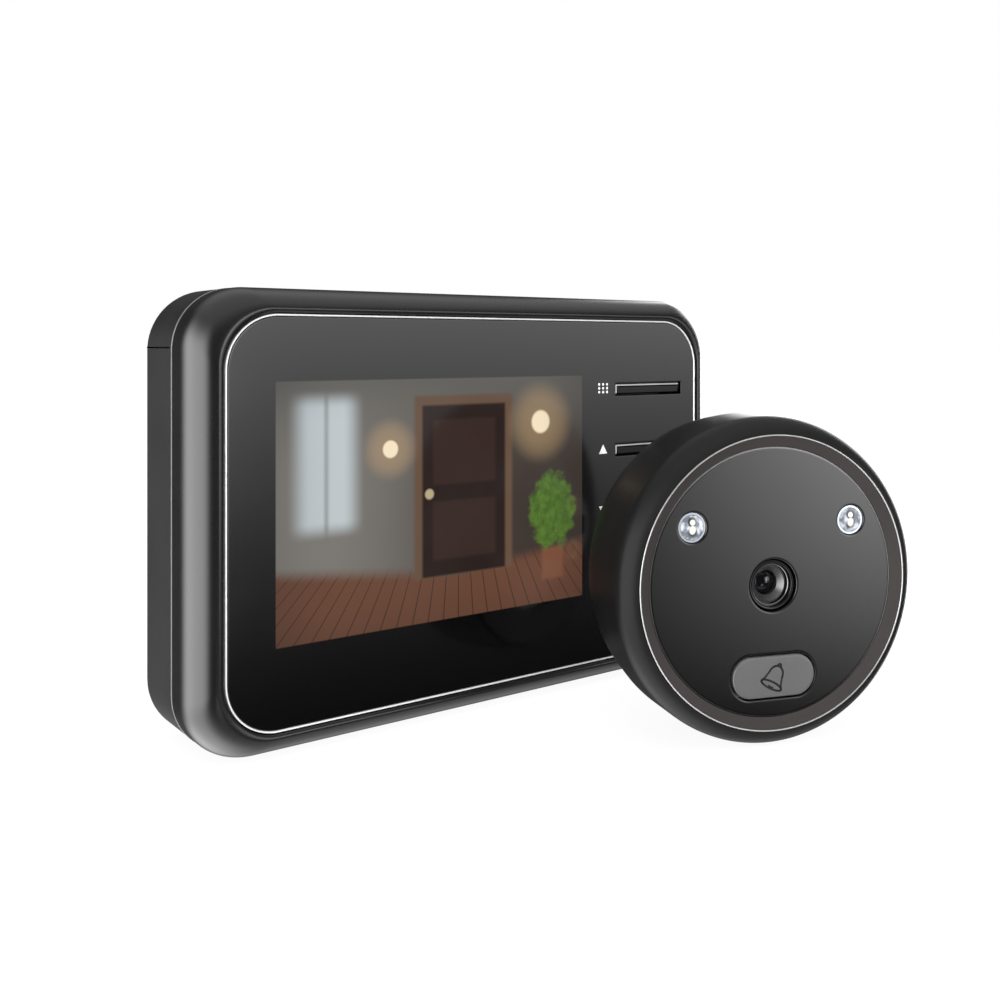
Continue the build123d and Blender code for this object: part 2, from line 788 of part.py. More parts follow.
# Outdoor shell: a convex round wall with an inner ledge for the face and pillars for the back
with BuildPart() as outdoor_shell:
    with BuildSketch(outdoor_section()):
        with BuildLine():
            lip_radius = outdoor_ring_radius + seat_gap / 2
            roll = TangentArc((outdoor_radius, -outdoor_roll), (lip_radius, 0), tangent=(0, 1))
            Polyline(
                roll @ 0,
                (outdoor_radius, -outdoor_back_start),
                (outdoor_back_radius, -outdoor_depth + outdoor_back_edge),
                (outdoor_back_radius - outdoor_back_edge, -outdoor_depth),
                (bore_radius, -outdoor_depth),
                (bore_radius, -face_back - ledge_thickness),
                (outdoor_face_radius - ledge_width, -face_back - ledge_thickness),
                (outdoor_face_radius - ledge_width, -face_back - seat_gap / 2),
                (lip_radius, -face_back - seat_gap / 2),
                roll @ 1,
            )
        make_face()
    revolve(axis=outdoor_axis)
    with BuildSketch(outdoor_plane(face_back + ledge_thickness)):
        with PolarLocations(pillar_circle_radius, pillar_count, start_angle=quarter_angle):
            Circle(pillar_radius)
    extrude(amount=face_back + ledge_thickness - back_plate_front + seat_gap / 2)
    with BuildSketch(outdoor_plane(back_plate_front)):
        with PolarLocations(pillar_circle_radius, pillar_count, start_angle=quarter_angle):
            Circle(screw_radius + screw_pilot_gap)
    extrude(amount=outdoor_screw_length, mode=Mode.SUBTRACT)
save(outdoor_shell, "outdoor_shell")

# Edge ring: the thin bright line where the wall turns to the front
with BuildPart() as edge_ring:
    with BuildSketch(outdoor_plane(edge_ring_depth)):
        Circle(outdoor_ring_radius)
        Circle(outdoor_ring_radius - edge_ring_width, mode=Mode.SUBTRACT)
    extrude(amount=edge_ring_depth)
save(edge_ring, "edge_ring")

# Bevel ring: slopes in from the edge ring to the face
with BuildPart() as bevel_ring:
    with BuildSketch(outdoor_section()):
        bevel_outer = outdoor_ring_radius - edge_ring_width - seat_gap / 2
        bevel_inner = outdoor_face_radius + seat_gap / 2
        step_outer = outdoor_ring_radius - seat_gap / 2
        with BuildLine():
            Polyline(
                (bevel_outer, 0),
                (bevel_outer, -edge_ring_depth - seat_gap / 2),
                (step_outer, -edge_ring_depth - seat_gap / 2),
                (step_outer, -face_back),
                (bevel_inner, -face_back),
                (bevel_inner, -bevel_drop),
                (bevel_outer, 0),
            )
        make_face()
    revolve(axis=outdoor_axis)
save(bevel_ring, "bevel_ring")

# Outdoor face: a glossy disc with holes for the lens, the lamps and the bell button
with BuildPart() as outdoor_face:
    with BuildSketch(outdoor_plane(face_back)):
        Circle(outdoor_face_radius)
        with Locations((0, -lens_drop)):
            Circle(lens_hole_radius, mode=Mode.SUBTRACT)
        with Locations(lamp_places):
            Circle(lamp_hole_radius, mode=Mode.SUBTRACT)
        with Locations((0, -bell_drop)):
            SlotOverall(
                bell_width + 2 * key_side_gap,
                bell_height + 2 * key_side_gap,
                mode=Mode.SUBTRACT,
            )
    extrude(amount=outdoor_face_thickness)
save(outdoor_face, "outdoor_face")

# Lens: a stepped barrel, its front glass, the holder on the board and the sensor behind
lens_plane_centre = outdoor_plane(0).from_local_coords(Vector(0, -lens_drop, 0))
lens_section = Plane(
    origin=lens_plane_centre,
    x_dir=outdoor_section().x_dir,
    z_dir=outdoor_section().z_dir,
)
lens_axis = Axis(lens_plane_centre, outdoor_plane(0).z_dir)
glass_front = barrel_front + barrel_step_count * barrel_step_depth
with BuildPart() as lens_barrel:
    with BuildSketch(lens_section):
        with BuildLine():
            step_run = (barrel_radius - barrel_lip - barrel_throat_radius) / barrel_step_count
            steps = [(barrel_radius, -barrel_front), (barrel_radius - barrel_lip, -barrel_front)]
            for step in range(barrel_step_count):
                step_radius = barrel_radius - barrel_lip - step * step_run
                step_floor = barrel_front + (step + 1) * barrel_step_depth
                steps.append((step_radius, -step_floor))
                steps.append((step_radius - step_run, -step_floor))
            Polyline(
                *steps,
                (barrel_throat_radius, -barrel_back),
                (barrel_radius, -barrel_back),
                (barrel_radius, -barrel_front),
            )
        make_face()
    revolve(axis=lens_axis)
save(lens_barrel, "lens_barrel")

with BuildPart() as lens_glass:
    with BuildSketch(lens_section):
        with BuildLine():
            crown = ThreePointArc(
                (0, -glass_front),
                (glass_radius * glass_middle_share, -glass_front - glass_crown * glass_sag_share),
                (glass_radius, -glass_front - glass_crown),
            )
            Polyline(
                crown @ 1,
                (glass_radius, -glass_front - glass_crown - glass_thickness),
                (0, -glass_front - glass_crown - glass_thickness),
                crown @ 0,
            )
        make_face()
    revolve(axis=lens_axis)
save(lens_glass, "lens_glass")

holder_back = outdoor_board_depth - seat_gap / 2
with BuildPart() as lens_holder:
    with BuildSketch(outdoor_plane(holder_back)):
        with Locations((0, -lens_drop)):
            Rectangle(holder_size, holder_size)
            Circle(barrel_radius + seat_gap / 2, mode=Mode.SUBTRACT)
    extrude(amount=holder_height)
    with BuildSketch(outdoor_plane(holder_back)):
        with Locations((0, -lens_drop)):
            Rectangle(holder_size - 2 * holder_wall, holder_size - 2 * holder_wall)
    extrude(amount=holder_back - barrel_back, mode=Mode.SUBTRACT)
save(lens_holder, "lens_holder")

with BuildPart() as image_sensor:
    with BuildSketch(outdoor_plane(holder_back)):
        with Locations((0, -lens_drop)):
            Rectangle(sensor_size, sensor_size)
    extrude(amount=sensor_thickness)
save(image_sensor, "image_sensor")

# Lamps: a silvered cup, a pale die in it and a clear domed cover, on each side of the lens
cup_radius = lamp_hole_radius - seat_gap / 2
cup_front = face_front + lamp_lens_crown
cup_back = cup_front + lamp_cup_depth + lamp_cup_base
cover_radius = cup_radius - lamp_cup_wall - lamp_lens_gap
for lamp_name, lamp_place in zip(("left", "right"), lamp_places):
    lamp_centre = outdoor_plane(0).from_local_coords(Vector(*lamp_place, 0))
    lamp_section = Plane(
        origin=lamp_centre,
        x_dir=outdoor_section().x_dir,
        z_dir=outdoor_section().z_dir,
    )
    lamp_axis = Axis(lamp_centre, outdoor_plane(0).z_dir)
    with BuildPart() as lamp_cup:
        with BuildSketch(lamp_section):
            with BuildLine():
                bowl_front = cup_front + lamp_lens_thickness
                bowl_back = cup_front + lamp_cup_depth
                bowl_radius = cup_radius - lamp_cup_wall
                Polyline(
                    (0, -bowl_back),
                    (lamp_cup_floor_radius, -bowl_back),
                    (bowl_radius, -bowl_front),
                    (bowl_radius, -cup_front),
                    (cup_radius, -cup_front),
                    (cup_radius, -cup_back),
                    (0, -cup_back),
                    (0, -bowl_back),
                )
            make_face()
        revolve(axis=lamp_axis)
    save(lamp_cup, f"lamp_cup_{lamp_name}")

    with BuildPart() as lamp_die:
        with BuildSketch(outdoor_plane(bowl_back - seat_gap / 2)):
            with Locations(lamp_place):
                RectangleRounded(lamp_die_width, lamp_die_height, lamp_die_width * lamp_die_round_share)
        extrude(amount=lamp_die_thickness)
    save(lamp_die, f"lamp_die_{lamp_name}")

    with BuildPart() as lamp_cover:
        with BuildSketch(lamp_section):
            with BuildLine():
                dome = ThreePointArc(
                    (0, -face_front),
                    (cover_radius * glass_middle_share, -face_front - lamp_lens_crown * glass_sag_share),
                    (cover_radius, -cup_front),
                )
                Polyline(
                    dome @ 1,
                    (cover_radius, -bowl_front),
                    (0, -bowl_front),
                    dome @ 0,
                )
            make_face()
        revolve(axis=lamp_axis)
    save(lamp_cover, f"lamp_cover_{lamp_name}")

# Lamp posts: the spacers that carry the lamps on the board
with BuildPart() as lamp_posts:
    with BuildSketch(outdoor_plane(outdoor_board_depth - seat_gap / 2)):
        with Locations(lamp_places):
            Circle(lamp_post_radius)
    extrude(amount=outdoor_board_depth - seat_gap - cup_back)
save(lamp_posts, "lamp_posts")

# Bell button: a capsule cap with a flange and a foot, over a rubber membrane and a switch
switch_base = outdoor_board_depth - seat_gap / 2
bell_foot_back = switch_base - bell_switch_height - bell_plunger_height - bell_travel - seat_gap
flange_back = bell_flange_front + bell_flange
with BuildPart() as bell_button:
    with BuildSketch(outdoor_plane(bell_flange_front)):
        with Locations((0, -bell_drop)):
            SlotOverall(bell_width, bell_height)
    extrude(amount=bell_flange_front - face_front + bell_rise)
    top_face = bell_button.faces().sort_by(outdoor_axis)[-1]
    chamfer(top_face.edges(), bell_cap_edge)
    with BuildSketch(outdoor_plane(bell_flange_front)):
        with Locations((0, -bell_drop)):
            SlotOverall(bell_width + 2 * bell_flange_lip, bell_height + 2 * bell_flange_lip)
    extrude(amount=-bell_flange)
    with BuildSketch(outdoor_plane(flange_back)):
        with Locations((0, -bell_drop)):
            Circle(bell_foot_radius)
    extrude(amount=flange_back - bell_foot_back)
save(bell_button, "bell_button")

# Bell seal: the rubber ring round the button's flange, behind the face
with BuildPart() as bell_seal:
    with BuildSketch(outdoor_plane(face_back + seat_gap / 2)):
        with Locations((0, -bell_drop)):
            seal_lip = bell_flange_lip + slide_gap
            SlotOverall(
                bell_width + 2 * (seal_lip + bell_seal_width),
                bell_height + 2 * (seal_lip + bell_seal_width),
            )
            SlotOverall(bell_width + 2 * seal_lip, bell_height + 2 * seal_lip, mode=Mode.SUBTRACT)
        Circle(outdoor_face_radius - ledge_width - seat_gap, mode=Mode.INTERSECT)
    extrude(amount=-bell_seal_thickness)
save(bell_seal, "bell_seal")

with BuildPart() as bell_switch:
    with BuildSketch(outdoor_plane(switch_base)):
        with Locations((0, -bell_drop)):
            Rectangle(switch_size, switch_size)
    extrude(amount=bell_switch_height)
    with BuildSketch(outdoor_plane(switch_base - bell_switch_height)):
        with Locations((0, -bell_drop)):
            Circle(switch_plunger_radius)
    extrude(amount=bell_plunger_height)
save(bell_switch, "bell_switch")

# Outdoor board and its ribbon socket
with BuildPart() as outdoor_board:
    with BuildSketch(outdoor_plane(outdoor_board_depth)):
        Circle(outdoor_board_radius)
        with PolarLocations(pillar_circle_radius, pillar_count, start_angle=quarter_angle):
            Circle(pillar_radius + boss_notch_gap, mode=Mode.SUBTRACT)
    extrude(amount=-outdoor_board_thickness)
save(outdoor_board, "outdoor_board")

with BuildPart() as outdoor_ribbon_socket:
    with BuildSketch(outdoor_plane(outdoor_board_back + seat_gap / 2)):
        Rectangle(ribbon_slot_width * ribbon_socket_share, ribbon_slot_height * ribbon_socket_share)
    extrude(amount=-ribbon_socket_thickness)
save(outdoor_ribbon_socket, "outdoor_ribbon_socket")

# Outdoor back: a plate with the spigot that enters the door, slotted for the ribbon cable
insert_places = [(0, insert_spacing / 2), (0, -insert_spacing / 2)]
with BuildPart() as outdoor_back:
    with BuildSketch(outdoor_plane(back_plate_front)):
        Circle(bore_radius - seat_gap / 2)
    extrude(amount=-back_plate_thickness)
    with BuildSketch(outdoor_plane(outdoor_depth)):
        Circle(spigot_radius)
    extrude(amount=-spigot_length)
    tip_face = outdoor_back.faces().sort_by(outdoor_axis)[0]
    chamfer(tip_face.edges(), spigot_chamfer)
    with BuildSketch(outdoor_plane(back_plate_front)):
        Rectangle(ribbon_slot_width, ribbon_slot_height)
    extrude(amount=-(back_plate_thickness + spigot_length), mode=Mode.SUBTRACT)
    with BuildSketch(outdoor_plane(outdoor_depth + spigot_length)):
        with Locations(insert_places):
            Circle(insert_radius + seat_gap / 2)
    extrude(amount=insert_length, mode=Mode.SUBTRACT)
    with BuildSketch(outdoor_plane(back_plate_front)):
        with PolarLocations(pillar_circle_radius, pillar_count, start_angle=quarter_angle):
            Circle(screw_radius + screw_pilot_gap)
    extrude(amount=-back_plate_thickness, mode=Mode.SUBTRACT)
    with BuildSketch(outdoor_plane(outdoor_depth)):
        with PolarLocations(pillar_circle_radius, pillar_count, start_angle=quarter_angle):
            Circle(screw_head_radius + seat_gap)
    extrude(amount=counterbore_depth, mode=Mode.SUBTRACT)
save(outdoor_back, "outdoor_back")

# Threaded inserts: two brass bushes in the spigot for the screws through the door
with BuildPart() as threaded_inserts:
    with BuildSketch(outdoor_plane(outdoor_depth + spigot_length)):
        with Locations(insert_places):
            Circle(insert_radius)
            Circle(insert_bore_radius, mode=Mode.SUBTRACT)
    extrude(amount=insert_length - seat_gap)
save(threaded_inserts, "threaded_inserts")

# Outdoor screws: join the back to the shell's pillars
with PolarLocations(pillar_circle_radius, pillar_count, start_angle=quarter_angle) as ring:
    screw_places = [(place.position.X, place.position.Y) for place in ring.local_locations]
under_outdoor_heads = outdoor_plane(outdoor_depth - counterbore_depth + seat_gap / 2)
outdoor_screws = screws(under_outdoor_heads, screw_places, outdoor_screw_length)
save(outdoor_screws, "outdoor_screws")

# Gasket: the foam ring between the outdoor camera and the door
with BuildPart() as door_gasket:
    with BuildSketch(outdoor_plane(outdoor_depth + seat_gap / 2)):
        Circle(outdoor_back_radius - gasket_edge_gap)
        Circle(outdoor_back_radius - gasket_edge_gap - gasket_width, mode=Mode.SUBTRACT)
    extrude(amount=-gasket_thickness)
save(door_gasket, "door_gasket")
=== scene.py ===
"""Looks of the door viewer set: a flat indoor monitor and a round outdoor camera with a bell button."""

import json
from math import atan2, cos, degrees, dist, pi, radians, sin, sqrt

import bmesh
import bpy
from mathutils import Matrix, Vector


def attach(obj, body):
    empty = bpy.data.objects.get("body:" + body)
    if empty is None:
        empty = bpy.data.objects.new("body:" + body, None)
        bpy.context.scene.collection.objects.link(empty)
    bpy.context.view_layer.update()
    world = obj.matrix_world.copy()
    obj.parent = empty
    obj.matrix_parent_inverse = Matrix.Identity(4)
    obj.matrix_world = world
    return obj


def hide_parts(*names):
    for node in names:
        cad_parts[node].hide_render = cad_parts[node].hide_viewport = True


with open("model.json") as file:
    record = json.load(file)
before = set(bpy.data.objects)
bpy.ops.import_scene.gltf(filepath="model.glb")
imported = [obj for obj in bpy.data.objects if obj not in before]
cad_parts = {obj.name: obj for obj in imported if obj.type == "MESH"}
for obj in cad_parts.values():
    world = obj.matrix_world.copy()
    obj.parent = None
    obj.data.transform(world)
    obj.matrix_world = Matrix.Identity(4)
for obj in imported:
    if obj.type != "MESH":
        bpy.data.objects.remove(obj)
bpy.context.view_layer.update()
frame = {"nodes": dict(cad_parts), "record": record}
nodes = frame["nodes"]
scene = bpy.context.scene

MM = 0.001
OVERLAP = 0.05

# Monitor casing, in millimetres
WIDTH = 105.0
HEIGHT = 69.8
CORNER = 9.5
FRONT_DEPTH = 8.7
RIM_ROLL = 5.6
RIM_RISE = 0.4
ROLL_STEPS = 48
RIM_DIP = 0.35
DIP_START_SHARE = 0.8
WALL = 1.6
WALL_BREAK = 0.12
SEAM = 0.5
SEAM_CROWN = 0.04
DEPTH = 22.0
PARTING_Z = (60.652, 60.88)
LIP_INSET = 0.6
LIP_CORNER = 0.05
LIP_ROUND = 0.001
FACE_Y = -(RIM_ROLL + FRONT_DEPTH) / 2

# Glossy face, its trim and the plate behind it
PANEL_SIDE = 5.0
PANEL_END = 4.4
PANEL_CORNER = 8.0
PANEL_THICKNESS = 1.5
PANEL_ROUND = 0.12
PLATE_FRONT = 1.6
PLATE_BACK = 3.0
PLATE_TUCK = 0.5
PLATE_ROUND = 0.05
TRIM_WIDTH = 0.45
BEAD_WIDTH = 0.31
TRIM_GAP = 0.05
TRIM_RISE = 0.15
TRIM_SEAT = 0.1
FACE_SIZE = (WIDTH - 2 * PANEL_SIDE, HEIGHT - 2 * PANEL_END)

# Screen and keys
SCREEN_X = (-40.06, 19.14)
SCREEN_Z = (16.43, 55.73)
WINDOW_MARGIN = 0.6
WINDOW_CORNER = 0.3
KEY_X = 35.67
KEY_Z = [53.05, 41.95, 30.85, 19.75]
KEY_SIZE = (16.4, 1.8)
KEY_CORNER = 0.25
KEY_BEVEL = 0.24
KEY_GAP = 0.25
SLOT_CORNER = 0.2
KEY_RECESS = 0.25
KEY_FLANGE = (18.4, 4.4)
KEY_FLANGE_THICKNESS = 1.0
KEY_FLANGE_CORNER = 0.3
KEY_FLANGE_GAP = 0.1
FLANGE_ROUND = 0.1
ICON_X = 24.15
ICON_RISE = 0.3

# Outdoor camera
TURN = radians(19.83)
RING = Vector((23.03, FACE_Y - 40.57, 25.15))
TO_RIGHT = Vector((cos(TURN), -sin(TURN), 0))
TO_FRONT = Vector((-sin(TURN), -cos(TURN), 0))
OUT_RADIUS = 25.15
RING_RADIUS = 22.46
EDGE_WIDTH = 0.24
EDGE_DEPTH = 1.2
EDGE_RISE = 0.06
EDGE_SEAT = 0.08
FACE_RADIUS = 20.53
FACE_THICKNESS = 1.6
EDGE_ROUND = 0.2
OUT_DEPTH = 15.8
OUT_ROLL = 3.6
OUT_TAPER = 5.0
BACK_RADIUS = 24.52
BACK_EDGE = 0.8
OUT_WALL = 1.8
BEVEL_DROP = 0.9
BEVEL_BREAK = 0.06
BEVEL_SET_BACK = 0.02
LEDGE_WIDTH = 1.35
LEDGE_THICKNESS = 1.2

# Lens, lamps and bell button
LENS_UP = -0.6
LENS_HOLE = 4.0
BARREL_RADIUS = 3.8
BARREL_RECESS = 0.5
BARREL_LENGTH = 6.2
BARREL_LIP = 0.45
BARREL_BREAK = 0.1
THROAT_RADIUS = 1.9
BARREL_STEPS = 2
STEP_DEPTH = 0.45
STEP_ROUND = 0.2
GLINT_SHARE = 0.6
LAMP_ASIDE = 13.53
LAMP_UP = 8.78
LAMP_HOLE = 2.27
BELL_UP = -14.43
BELL_SIZE = (13.9, 6.25)
BELL_RISE = 0.25
BELL_LIP = 0.6
BELL_FLANGE = 0.9
BELL_ROUND = 0.28

# Printed marks
PRINT_RISE = 0.02
DOT_PITCH = (0.95, 0.7)
DOT_RADIUS = 0.24
POWER_LINE = 0.22
BELL_LEAN = radians(-27)
BELL_SCALE = 1.25
BELL_MARK_DROP = 0.15
BELL_LINE = 0.25
KNOB_LINE = 0.22
CLAPPER_LINE = 0.18

# Camera: where the photograph was taken from
CAMERA_PLACE = (-109.41, -149.84, 60.84)
CAMERA_TURN = radians(36.36)
CAMERA_LENS = 39.6
CAMERA_SHIFT = -0.153


def at_monitor(across, depth, up):
    """A point of the monitor: across, behind its face, above the floor."""
    return Vector((across, FACE_Y + depth, up)) * MM


def at_outdoor(across, depth, up):
    """A point of the outdoor camera: right of its axis, behind its front ring, above its axis."""
    return (RING + TO_RIGHT * across + Vector((0, 0, up)) - TO_FRONT * depth) * MM


def reach_from(point, centre):
    """How far a point lies from a line along the outdoor camera's axis, in millimetres."""
    offset = point / MM - RING
    return dist((offset.dot(TO_RIGHT), offset.z), centre)


# Shader expressions
class Value:
    """A socket that Python's operators build Math nodes on."""

    def __init__(self, graph, socket):
        self.graph = graph
        self.socket = socket

    def math(self, operation, *others):
        return self.graph.node("ShaderNodeMath", {"operation": operation}, self, *others)

    def __add__(self, other):
        return self.math("ADD", other)

    __radd__ = __add__

    def __sub__(self, other):
        return self.math("SUBTRACT", other)

    def __rsub__(self, other):
        return self.graph.node("ShaderNodeMath", {"operation": "SUBTRACT"}, other, self)

    def __mul__(self, other):
        return self.math("MULTIPLY", other)

    __rmul__ = __mul__

    def __truediv__(self, other):
        return self.math("DIVIDE", other)

    def __rtruediv__(self, other):
        return self.graph.node("ShaderNodeMath", {"operation": "DIVIDE"}, other, self)

    def __neg__(self):
        return self * -1.0

    def __abs__(self):
        return self.math("ABSOLUTE")

    def at_least(self, other):
        return self.math("MAXIMUM", other)

    def smooth(self, low, high):
        """0 at low, 1 at high, smooth between; low may be the larger."""
        limits = {"From Min": low, "From Max": high}
        settings = {"interpolation_type": "SMOOTHSTEP"}
        return self.graph.node("ShaderNodeMapRange", settings, Value=self, **limits)

    def band(self, low, high, soft):
        """1 between low and high, with soft edges."""
        return self.smooth(low - soft, low + soft) * self.smooth(high + soft, high - soft)


def far_from(across, up, place, wide=1.0, tall=1.0):
    """The squared distance from a place, with a weight for each direction."""
    aside = across - place[0]
    above = up - place[1]
    return aside * aside * wide + above * above * tall


class Graph:
    """A shader tree, for one material or for the world."""

    def __init__(self, tree, output):
        self.tree = tree
        self.tree.nodes.clear()
        self.output = self.tree.nodes.new(output)

    def put(self, socket, value):
        """Link a value to a socket, or set a plain number or colour on it."""
        if isinstance(value, Value):
            self.tree.links.new(value.socket, socket)
        elif hasattr(socket.default_value, "__len__"):
            if not hasattr(value, "__len__"):
                value = (value,) * 3
            socket.default_value = (tuple(value) + (1.0,))[: len(socket.default_value)]
        else:
            socket.default_value = value

    def node(self, kind, settings=None, *inputs, out=0, **named):
        """Any node: its type, its settings, then its sockets by place or by name."""
        made = self.tree.nodes.new(kind)
        for key, value in (settings or {}).items():
            setattr(made, key, value)
        for socket, value in zip(made.inputs, inputs):
            self.put(socket, value)
        for key, value in named.items():
            self.put(made.inputs[key], value)
        return Value(self, made.outputs[out])

    def parts(self, vector):
        """The three parts of a vector."""
        first = self.node("ShaderNodeSeparateXYZ", {}, vector)
        outputs = first.socket.node.outputs
        return Value(self, outputs[0]), Value(self, outputs[1]), Value(self, outputs[2])

    def coordinates(self):
        return self.node("ShaderNodeTexCoord", out="Object")

    def noise(self, scale, detail=2.0):
        return self.node("ShaderNodeTexNoise", {}, Vector=self.coordinates(), Scale=scale, Detail=detail)

    def mix(self, mask, first, second):
        """Colour mix: the first where the mask is 0, the second where it is 1."""
        made = self.tree.nodes.new("ShaderNodeMix")
        made.data_type = "RGBA"
        self.put(made.inputs[0], mask)
        self.put(made.inputs[6], first)
        self.put(made.inputs[7], second)
        return Value(self, made.outputs[2])

    def bump(self, height, strength, distance):
        return self.node("ShaderNodeBump", {}, Height=height, Strength=strength, Distance=distance)

    def end(self, shader):
        self.tree.links.new(shader.socket, self.output.inputs[0])

    def finish(self, **sockets):
        """End in a Principled shader with these sockets."""
        named = {key.replace("_", " "): value for key, value in sockets.items()}
        self.end(self.node("ShaderNodeBsdfPrincipled", {}, **named))


def material_graph(name):
    """A new material and its graph."""
    material = bpy.data.materials.new(name)
    material.use_nodes = True
    return material, Graph(material.node_tree, "ShaderNodeOutputMaterial")


def grey(level):
    return (level, level, level)


def shade(color, factor):
    return tuple(factor * part for part in color)


def moulded_plastic(name, color, roughness, texture=0.05, shine=0.5):
    """Moulded plastic with a fine spark texture and slightly uneven gloss."""
    material, g = material_graph(name)
    fine = g.noise(4200.0, 3.0)
    broad = g.noise(90.0, 2.0)
    g.finish(
        Base_Color=g.mix(broad, shade(color, 0.85), shade(color, 1.15)),
        Roughness=roughness + (broad - 0.5) * 0.05,
        Specular_IOR_Level=shine,
        Normal=g.bump(fine, texture, 0.00004),
    )
    return material


def bright_metal(name, color, roughness, metallic=1.0, texture=0.05):
    """Plated or bare metal with faint rubbed streaks in its gloss."""
    material, g = material_graph(name)
    rubbed = g.noise(900.0, 3.0)
    broad = g.noise(120.0, 2.0)
    g.finish(
        Base_Color=g.mix(broad, shade(color, 0.92), color),
        Roughness=roughness + (rubbed - 0.5) * 0.06,
        Metallic=metallic,
        Normal=g.bump(rubbed, texture, 0.000005),
    )
    return material


def polished_sheet(name, color, roughness, shine=0.5):
    """Polished black sheet, with a trace of smear in its gloss."""
    material, g = material_graph(name)
    smear = g.noise(45.0, 3.0)
    g.finish(
        Base_Color=g.mix(smear, color, shade(color, 1.15)),
        Roughness=roughness + smear.smooth(0.45, 0.8) * 0.04,
        Specular_IOR_Level=shine,
    )
    return material


def shaded_edge(name, roughness):
    """The polished edge of the round face, with a painted highlight towards its upper right and painted
    shade at its lower left.
    """
    material, g = material_graph(name)
    x, y, z = g.parts(g.coordinates())
    diagonal = (x / MM - RING.x + z / MM - RING.z) / FACE_RADIUS
    cloud = g.noise(400.0, 2.0)
    g.finish(
        Base_Color=g.mix(diagonal.smooth(-0.7, 1.0), grey(0.012), grey(0.2)),
        Roughness=roughness + cloud * 0.03,
    )
    return material


def clear_plastic(name, tint, alpha, roughness=0.03):
    """Clear moulded plastic, seen through."""
    material, g = material_graph(name)
    cloud = g.noise(700.0, 2.0)
    g.finish(Base_Color=tint, Roughness=roughness + cloud * 0.03, Alpha=alpha)
    return material


def lit_display(name, color, roughness):
    """The polished face with the lit screen behind it: a softly blurred view of a hallway."""
    material, g = material_graph(name)
    x, y, z = g.parts(g.coordinates())
    across = (x / MM - SCREEN_X[0]) / (SCREEN_X[1] - SCREEN_X[0])
    up = (z / MM - SCREEN_Z[0]) / (SCREEN_Z[1] - SCREEN_Z[0])
    window = across.band(0.0, 1.0, 0.002) * up.band(0.0, 1.0, 0.003)
    roundness = ((SCREEN_X[1] - SCREEN_X[0]) / (SCREEN_Z[1] - SCREEN_Z[0])) ** 2

    # Every place in the picture is a share of the screen's width or height
    # Walls: warm grey, paler towards the window on the left
    picture = g.mix(across.smooth(0.0, 0.8), (0.32, 0.30, 0.27), (0.065, 0.046, 0.036))
    picture = g.mix(up.smooth(0.55, 1.1), picture, (0.20, 0.19, 0.17))

    # Daylight in a tall window
    daylight = across.band(0.06, 0.22, 0.035) * up.band(0.42, 0.93, 0.04)
    picture = g.mix(daylight, picture, (0.80, 0.88, 0.92))
    mullion = across.band(0.135, 0.145, 0.008) * up.band(0.4, 0.95, 0.04)
    picture = g.mix(mullion * 0.6, picture, (0.22, 0.20, 0.18))

    # Wooden floor whose boards meet at one far point
    vanishing_across, vanishing_up = 0.55, 0.95
    floor_edge = up - abs(across - vanishing_across) * 0.16
    floor_mask = floor_edge.smooth(0.22, 0.15)
    boards = (across - vanishing_across) / (up - vanishing_up) * 19.0
    plank = boards.math("FRACT").smooth(0.0, 0.12)
    floor_color = g.mix(plank, (0.06, 0.022, 0.013), (0.21, 0.085, 0.046))
    picture = g.mix(floor_mask, picture, floor_color)

    # Door with its frame, two panels and a round handle
    frame_mask = across.band(0.405, 0.735, 0.008) * up.band(-0.2, 0.93, 0.01) * up.smooth(0.17, 0.19)
    picture = g.mix(frame_mask, picture, (0.2, 0.115, 0.07))
    door = across.band(0.43, 0.71, 0.006) * up.band(-0.2, 0.89, 0.008) * up.smooth(0.175, 0.19)
    picture = g.mix(door, picture, (0.026, 0.012, 0.009))
    sunk = across.band(0.465, 0.675, 0.008) * (up.band(0.56, 0.83, 0.01) + up.band(0.25, 0.49, 0.01))
    picture = g.mix(sunk * 0.75, picture, (0.06, 0.028, 0.02))
    handle = far_from(across, up, (0.453, 0.525), wide=roundness).smooth(0.0007, 0.0002)
    picture = g.mix(handle, picture, (0.75, 0.60, 0.36))

    # Two warm wall lamps, out of focus
    for lamp_place, size in (((0.84, 0.80), 0.05), ((0.33, 0.72), 0.035)):
        far = far_from(across, up, lamp_place, wide=roundness)
        picture = g.mix(far.smooth((4 * size) ** 2, 0.0) * 0.35, picture, (0.95, 0.62, 0.30))
        picture = g.mix(far.smooth(1.3 * size**2, 0.7 * size**2), picture, (1.45, 1.2, 0.85))

    # A plant in a clay pot
    pot = across.band(0.845, 0.925, 0.01) * up.band(0.10, 0.24, 0.012)
    picture = g.mix(pot, picture, (0.30, 0.115, 0.06))
    ragged = (g.noise(420.0, 3.0) - 0.5) * 0.05
    leaves = (far_from(across, up, (0.885, 0.40), wide=3.2, tall=0.9) + ragged).smooth(0.030, 0.016)
    leaf_color = g.mix(g.noise(900.0, 2.0), (0.035, 0.10, 0.012), (0.20, 0.38, 0.05))
    picture = g.mix(leaves, picture, leaf_color)

    # A slight haze, and less light towards the edges
    picture = g.mix(g.noise(60.0, 3.0) * 0.07, picture, grey(0.42))
    edge_fall = abs(across - 0.5).smooth(0.3, 0.62) * 0.35 + abs(up - 0.5).smooth(0.32, 0.6) * 0.25
    picture = g.mix(edge_fall, picture, grey(0.02))
    smear = roughness + g.noise(45.0, 3.0).smooth(0.45, 0.8) * 0.04
    sheet = {"Base Color": color, "Roughness": smear}
    lit = {"Specular IOR Level": 0.12, "Emission Color": picture, "Emission Strength": 0.66}
    face = g.node("ShaderNodeBsdfPrincipled", {}, **sheet)
    screen = g.node("ShaderNodeBsdfPrincipled", {}, **sheet, **lit)
    g.end(g.node("ShaderNodeMixShader", {}, window, face, screen))
    return material


